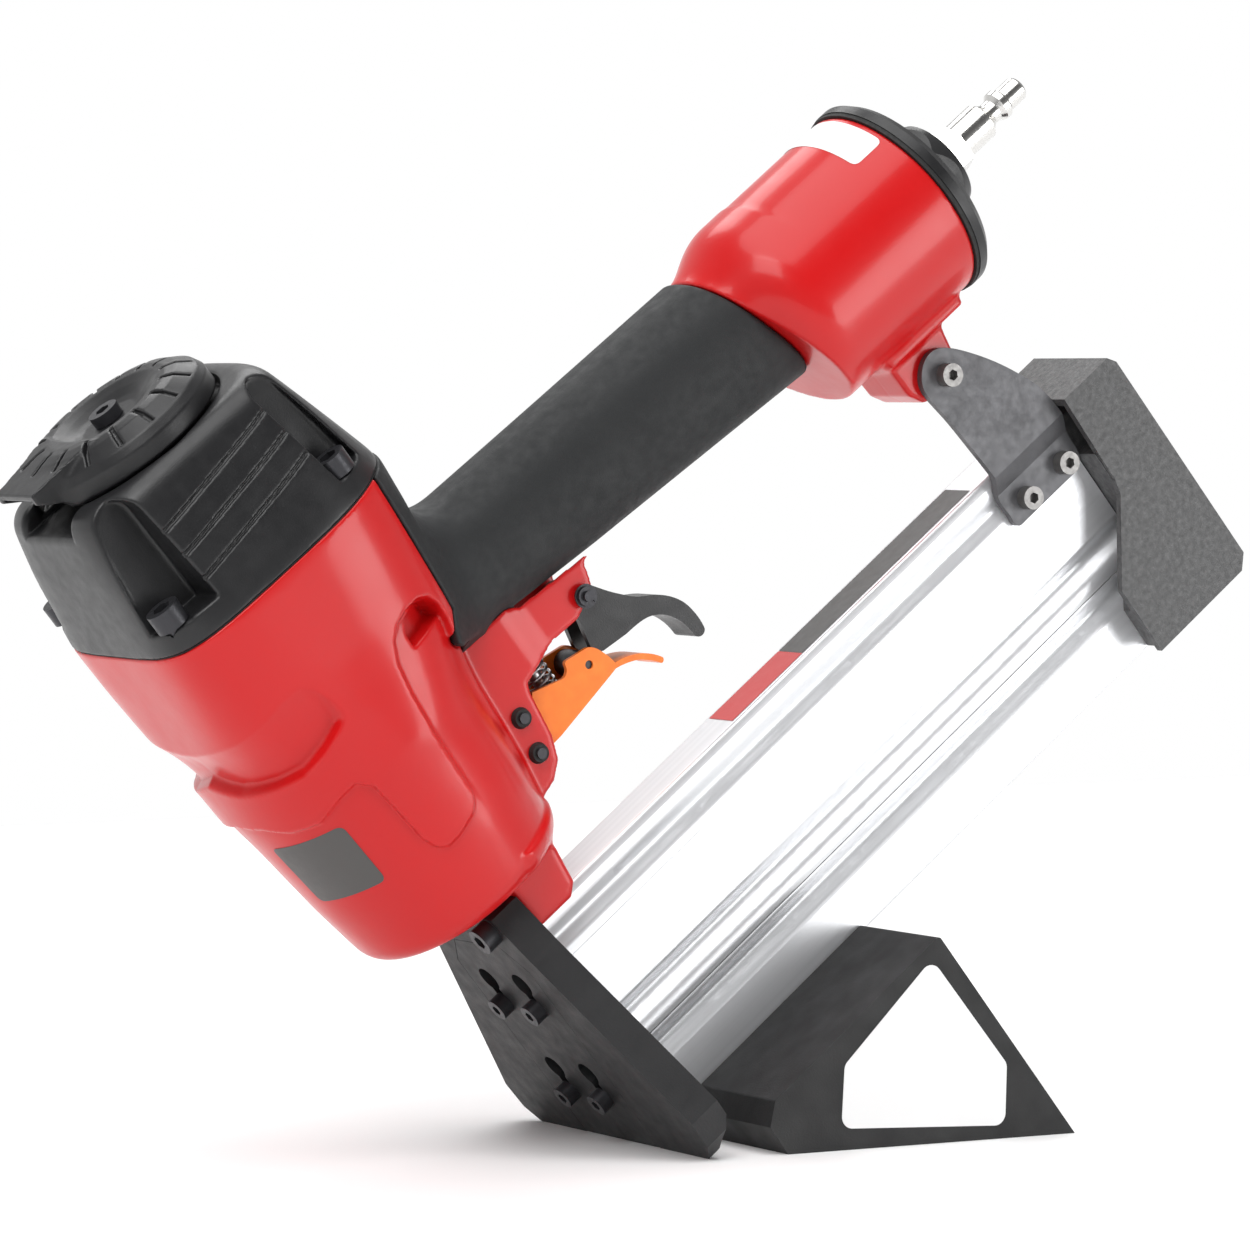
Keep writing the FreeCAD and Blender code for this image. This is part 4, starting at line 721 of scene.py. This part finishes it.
def add_sticker(name, corners, radius, place, material, rings=14):
    """A blank sticker: an outline laid on the surface that place(u, v) gives in tool axes."""
    outline = []
    rounded = rounded_outline(corners, radius)
    for i, point in enumerate(rounded):
        following = rounded[(i + 1) % len(rounded)]
        pieces = max(1, round((following - point).length / 1.5))
        outline += [point.lerp(following, k / pieces) for k in range(pieces)]
    middle = sum(outline, Vector((0.0, 0.0))) / len(outline)
    flat = [middle] + [middle.lerp(point, ring / rings) for ring in range(1, rings + 1) for point in outline]
    count = len(outline)
    faces = [(0, 1 + i, 1 + (i + 1) % count) for i in range(count)]
    for ring in range(rings - 1):
        for i in range(count):
            a, b = 1 + ring * count + i, 1 + ring * count + (i + 1) % count
            faces.append((a, a + count, b + count, b))
    mesh = bpy.data.meshes.new(name)
    mesh.from_pydata([place(point.x, point.y) for point in flat], [], faces)
    mesh.transform(TOOL)
    return add_mesh_object(name, mesh, material)


def add_cast_shapes():
    housing = new_piece("housing_casting", [housing_barrel(), housing_chamber()], RED)
    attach(housing, "tool")
    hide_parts("housing", "trigger_bracket")
    for name, fields, material, body, node, slot in (
        ("handle_rubber", grip_rubber_field, RUBBER, "tool", "grip_sleeve", "grip_rubber"),
        ("head_cap", cap_field, MOULDED, "tool", "cylinder_cap", "cap_casting"),
        ("seam_gasket", gasket_field, GASKET, "tool", "cap_gasket", "gasket_rubber"),
        ("exhaust_cover", deflector_field, MOULDED, "deflector", "exhaust_deflector", "deflector_plastic"),
    ):
        piece = new_piece(name, [fields()], material)
        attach(piece, body)
        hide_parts(node)


def barrel_point(along, height):
    """A point just off the lower barrel's near side, by arc length round it and height."""
    angle = math.pi / 2 + along / 38.5
    reach = float(np.interp(height, BARREL_HEIGHTS, SIDE_REACH)) * (1 - PANEL_STEP / BARREL_MEAN_REACH) + 0.15
    return (reach * math.cos(angle), -reach * math.sin(angle), height)


def chamber_point(x, along):
    """A point just off the rear chamber, by its place along it and by arc length round it from the top."""
    angle = along / CHAMBER_RADIUS
    reach = CHAMBER_RADIUS + 0.12
    return (x, -reach * math.sin(angle), CHAMBER_AXIS_Z + reach * math.cos(angle))


def rail_point(x, y):
    """A point just off the top of the magazine's rail."""
    return (x, y, 25.12)


BARREL_STICKER = [(28.5, 72.5), (28.5, 94.5), (55.5, 94.5), (55.5, 72.5)]
CHAMBER_STICKER = [(225.0, 24.0), (237.0, 24.0), (237.0, -22.0), (225.0, -22.0)]
RAIL_STICKER_FRONT = [(97.0, -6.9), (127.8, -6.9), (127.8, 6.9), (97.0, 6.9)]
RAIL_STICKER_BACK = [(127.9, -6.9), (203.4, -6.9), (203.4, 6.9), (127.9, 6.9)]


def add_stickers():
    for name, corners, radius, place, material in (
        ("barrel_sticker", BARREL_STICKER, 2.5, barrel_point, CHARCOAL),
        ("chamber_sticker", CHAMBER_STICKER, 2.5, chamber_point, VINYL),
        ("rail_sticker_front", RAIL_STICKER_FRONT, 0.2, rail_point, RED_VINYL),
        ("rail_sticker_back", RAIL_STICKER_BACK, 0.2, rail_point, CHARCOAL),
    ):
        piece = add_sticker(name, corners, radius, place, material)
        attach(piece, "tool")


add_cast_shapes()
add_stickers()


# ---- stage --------------------------------------------------------------------


def add_floor():
    bpy.ops.mesh.primitive_plane_add(size=2.4, location=(0, 0, 0))
    floor = bpy.context.object
    floor.name = "studio_floor"
    ground = Shader("studio_floor", (0.93, 0.93, 0.93), 0.6)
    ground.bump((ground.noise(0.02, 2.0), 0.01))
    floor.data.materials.append(ground.material)


def turn_towards(place, aim):
    """The rotation that points a lamp or a camera at place towards aim."""
    return (Vector(aim) - Vector(place)).to_track_quat("-Z", "Y").to_euler()


def add_softbox(name, place, aim, size, power):
    light = bpy.data.lights.new(name, "AREA")
    light.shape = "RECTANGLE"
    light.size, light.size_y = size
    light.energy = power
    lamp = bpy.data.objects.new(name, light)
    lamp.location = place
    lamp.rotation_euler = turn_towards(place, aim)
    bpy.context.scene.collection.objects.link(lamp)


def add_lights():
    """Bright paper behind the tool, dimmer towards the front and overhead, and soft lamps."""
    world = bpy.data.worlds.new("studio")
    world.use_nodes = True
    tree = world.node_tree
    sky = tree.nodes["Background"]
    sky.inputs["Color"].default_value = (1.0, 1.0, 1.0, 1.0)
    place = tree.nodes.new("ShaderNodeTexCoord")
    split = tree.nodes.new("ShaderNodeSeparateXYZ")
    tree.links.new(place.outputs["Generated"], split.inputs["Vector"])
    fades = []
    for axis, start, end, low, high in (("Z", 0.12, 0.5, 1.0, 0.4), ("Y", -0.7, 0.35, 0.32, 1.0)):
        fade = tree.nodes.new("ShaderNodeMapRange")
        fade.inputs["From Min"].default_value = start
        fade.inputs["From Max"].default_value = end
        fade.inputs["To Min"].default_value = low
        fade.inputs["To Max"].default_value = high
        tree.links.new(split.outputs[axis], fade.inputs["Value"])
        fades.append(fade.outputs["Result"])
    both = tree.nodes.new("ShaderNodeMath")
    both.operation = "MULTIPLY"
    tree.links.new(fades[0], both.inputs[0])
    tree.links.new(fades[1], both.inputs[1])
    tree.links.new(both.outputs["Value"], sky.inputs["Strength"])
    bpy.context.scene.world = world
    bpy.context.scene.view_settings.view_transform = "Standard"
    add_softbox("key", (-1.3, -1.0, 1.3), (-0.05, 0, 0.15), (0.9, 0.9), 12.0)
    add_softbox("fill", (0.72, -0.92, 0.24), (0.08, 0, 0.17), (0.5, 0.5), 4.4)
    add_softbox("rim", (0.2, 1.2, 1.5), (0, 0, 0.2), (1.4, 0.7), 10.0)
    sun = bpy.data.lights.new("ceiling", "SUN")
    sun.energy = 2.2
    sun.angle = math.radians(60.0)
    lamp = bpy.data.objects.new("ceiling", sun)
    lamp.rotation_euler = (math.radians(12.0), math.radians(-14.0), 0.0)
    bpy.context.scene.collection.objects.link(lamp)


def add_camera():
    camera = bpy.data.cameras.new("camera")
    camera.lens = 169.9
    camera.sensor_width = 36.0
    camera.clip_end = 50.0
    eye = bpy.data.objects.new("camera", camera)
    eye.location = (-0.920, -1.5015, 0.2233)
    eye.rotation_euler = turn_towards(eye.location, (-0.074, 0.0, 0.1511))
    bpy.context.scene.collection.objects.link(eye)
    bpy.context.scene.camera = eye


add_floor()
add_lights()
add_camera()
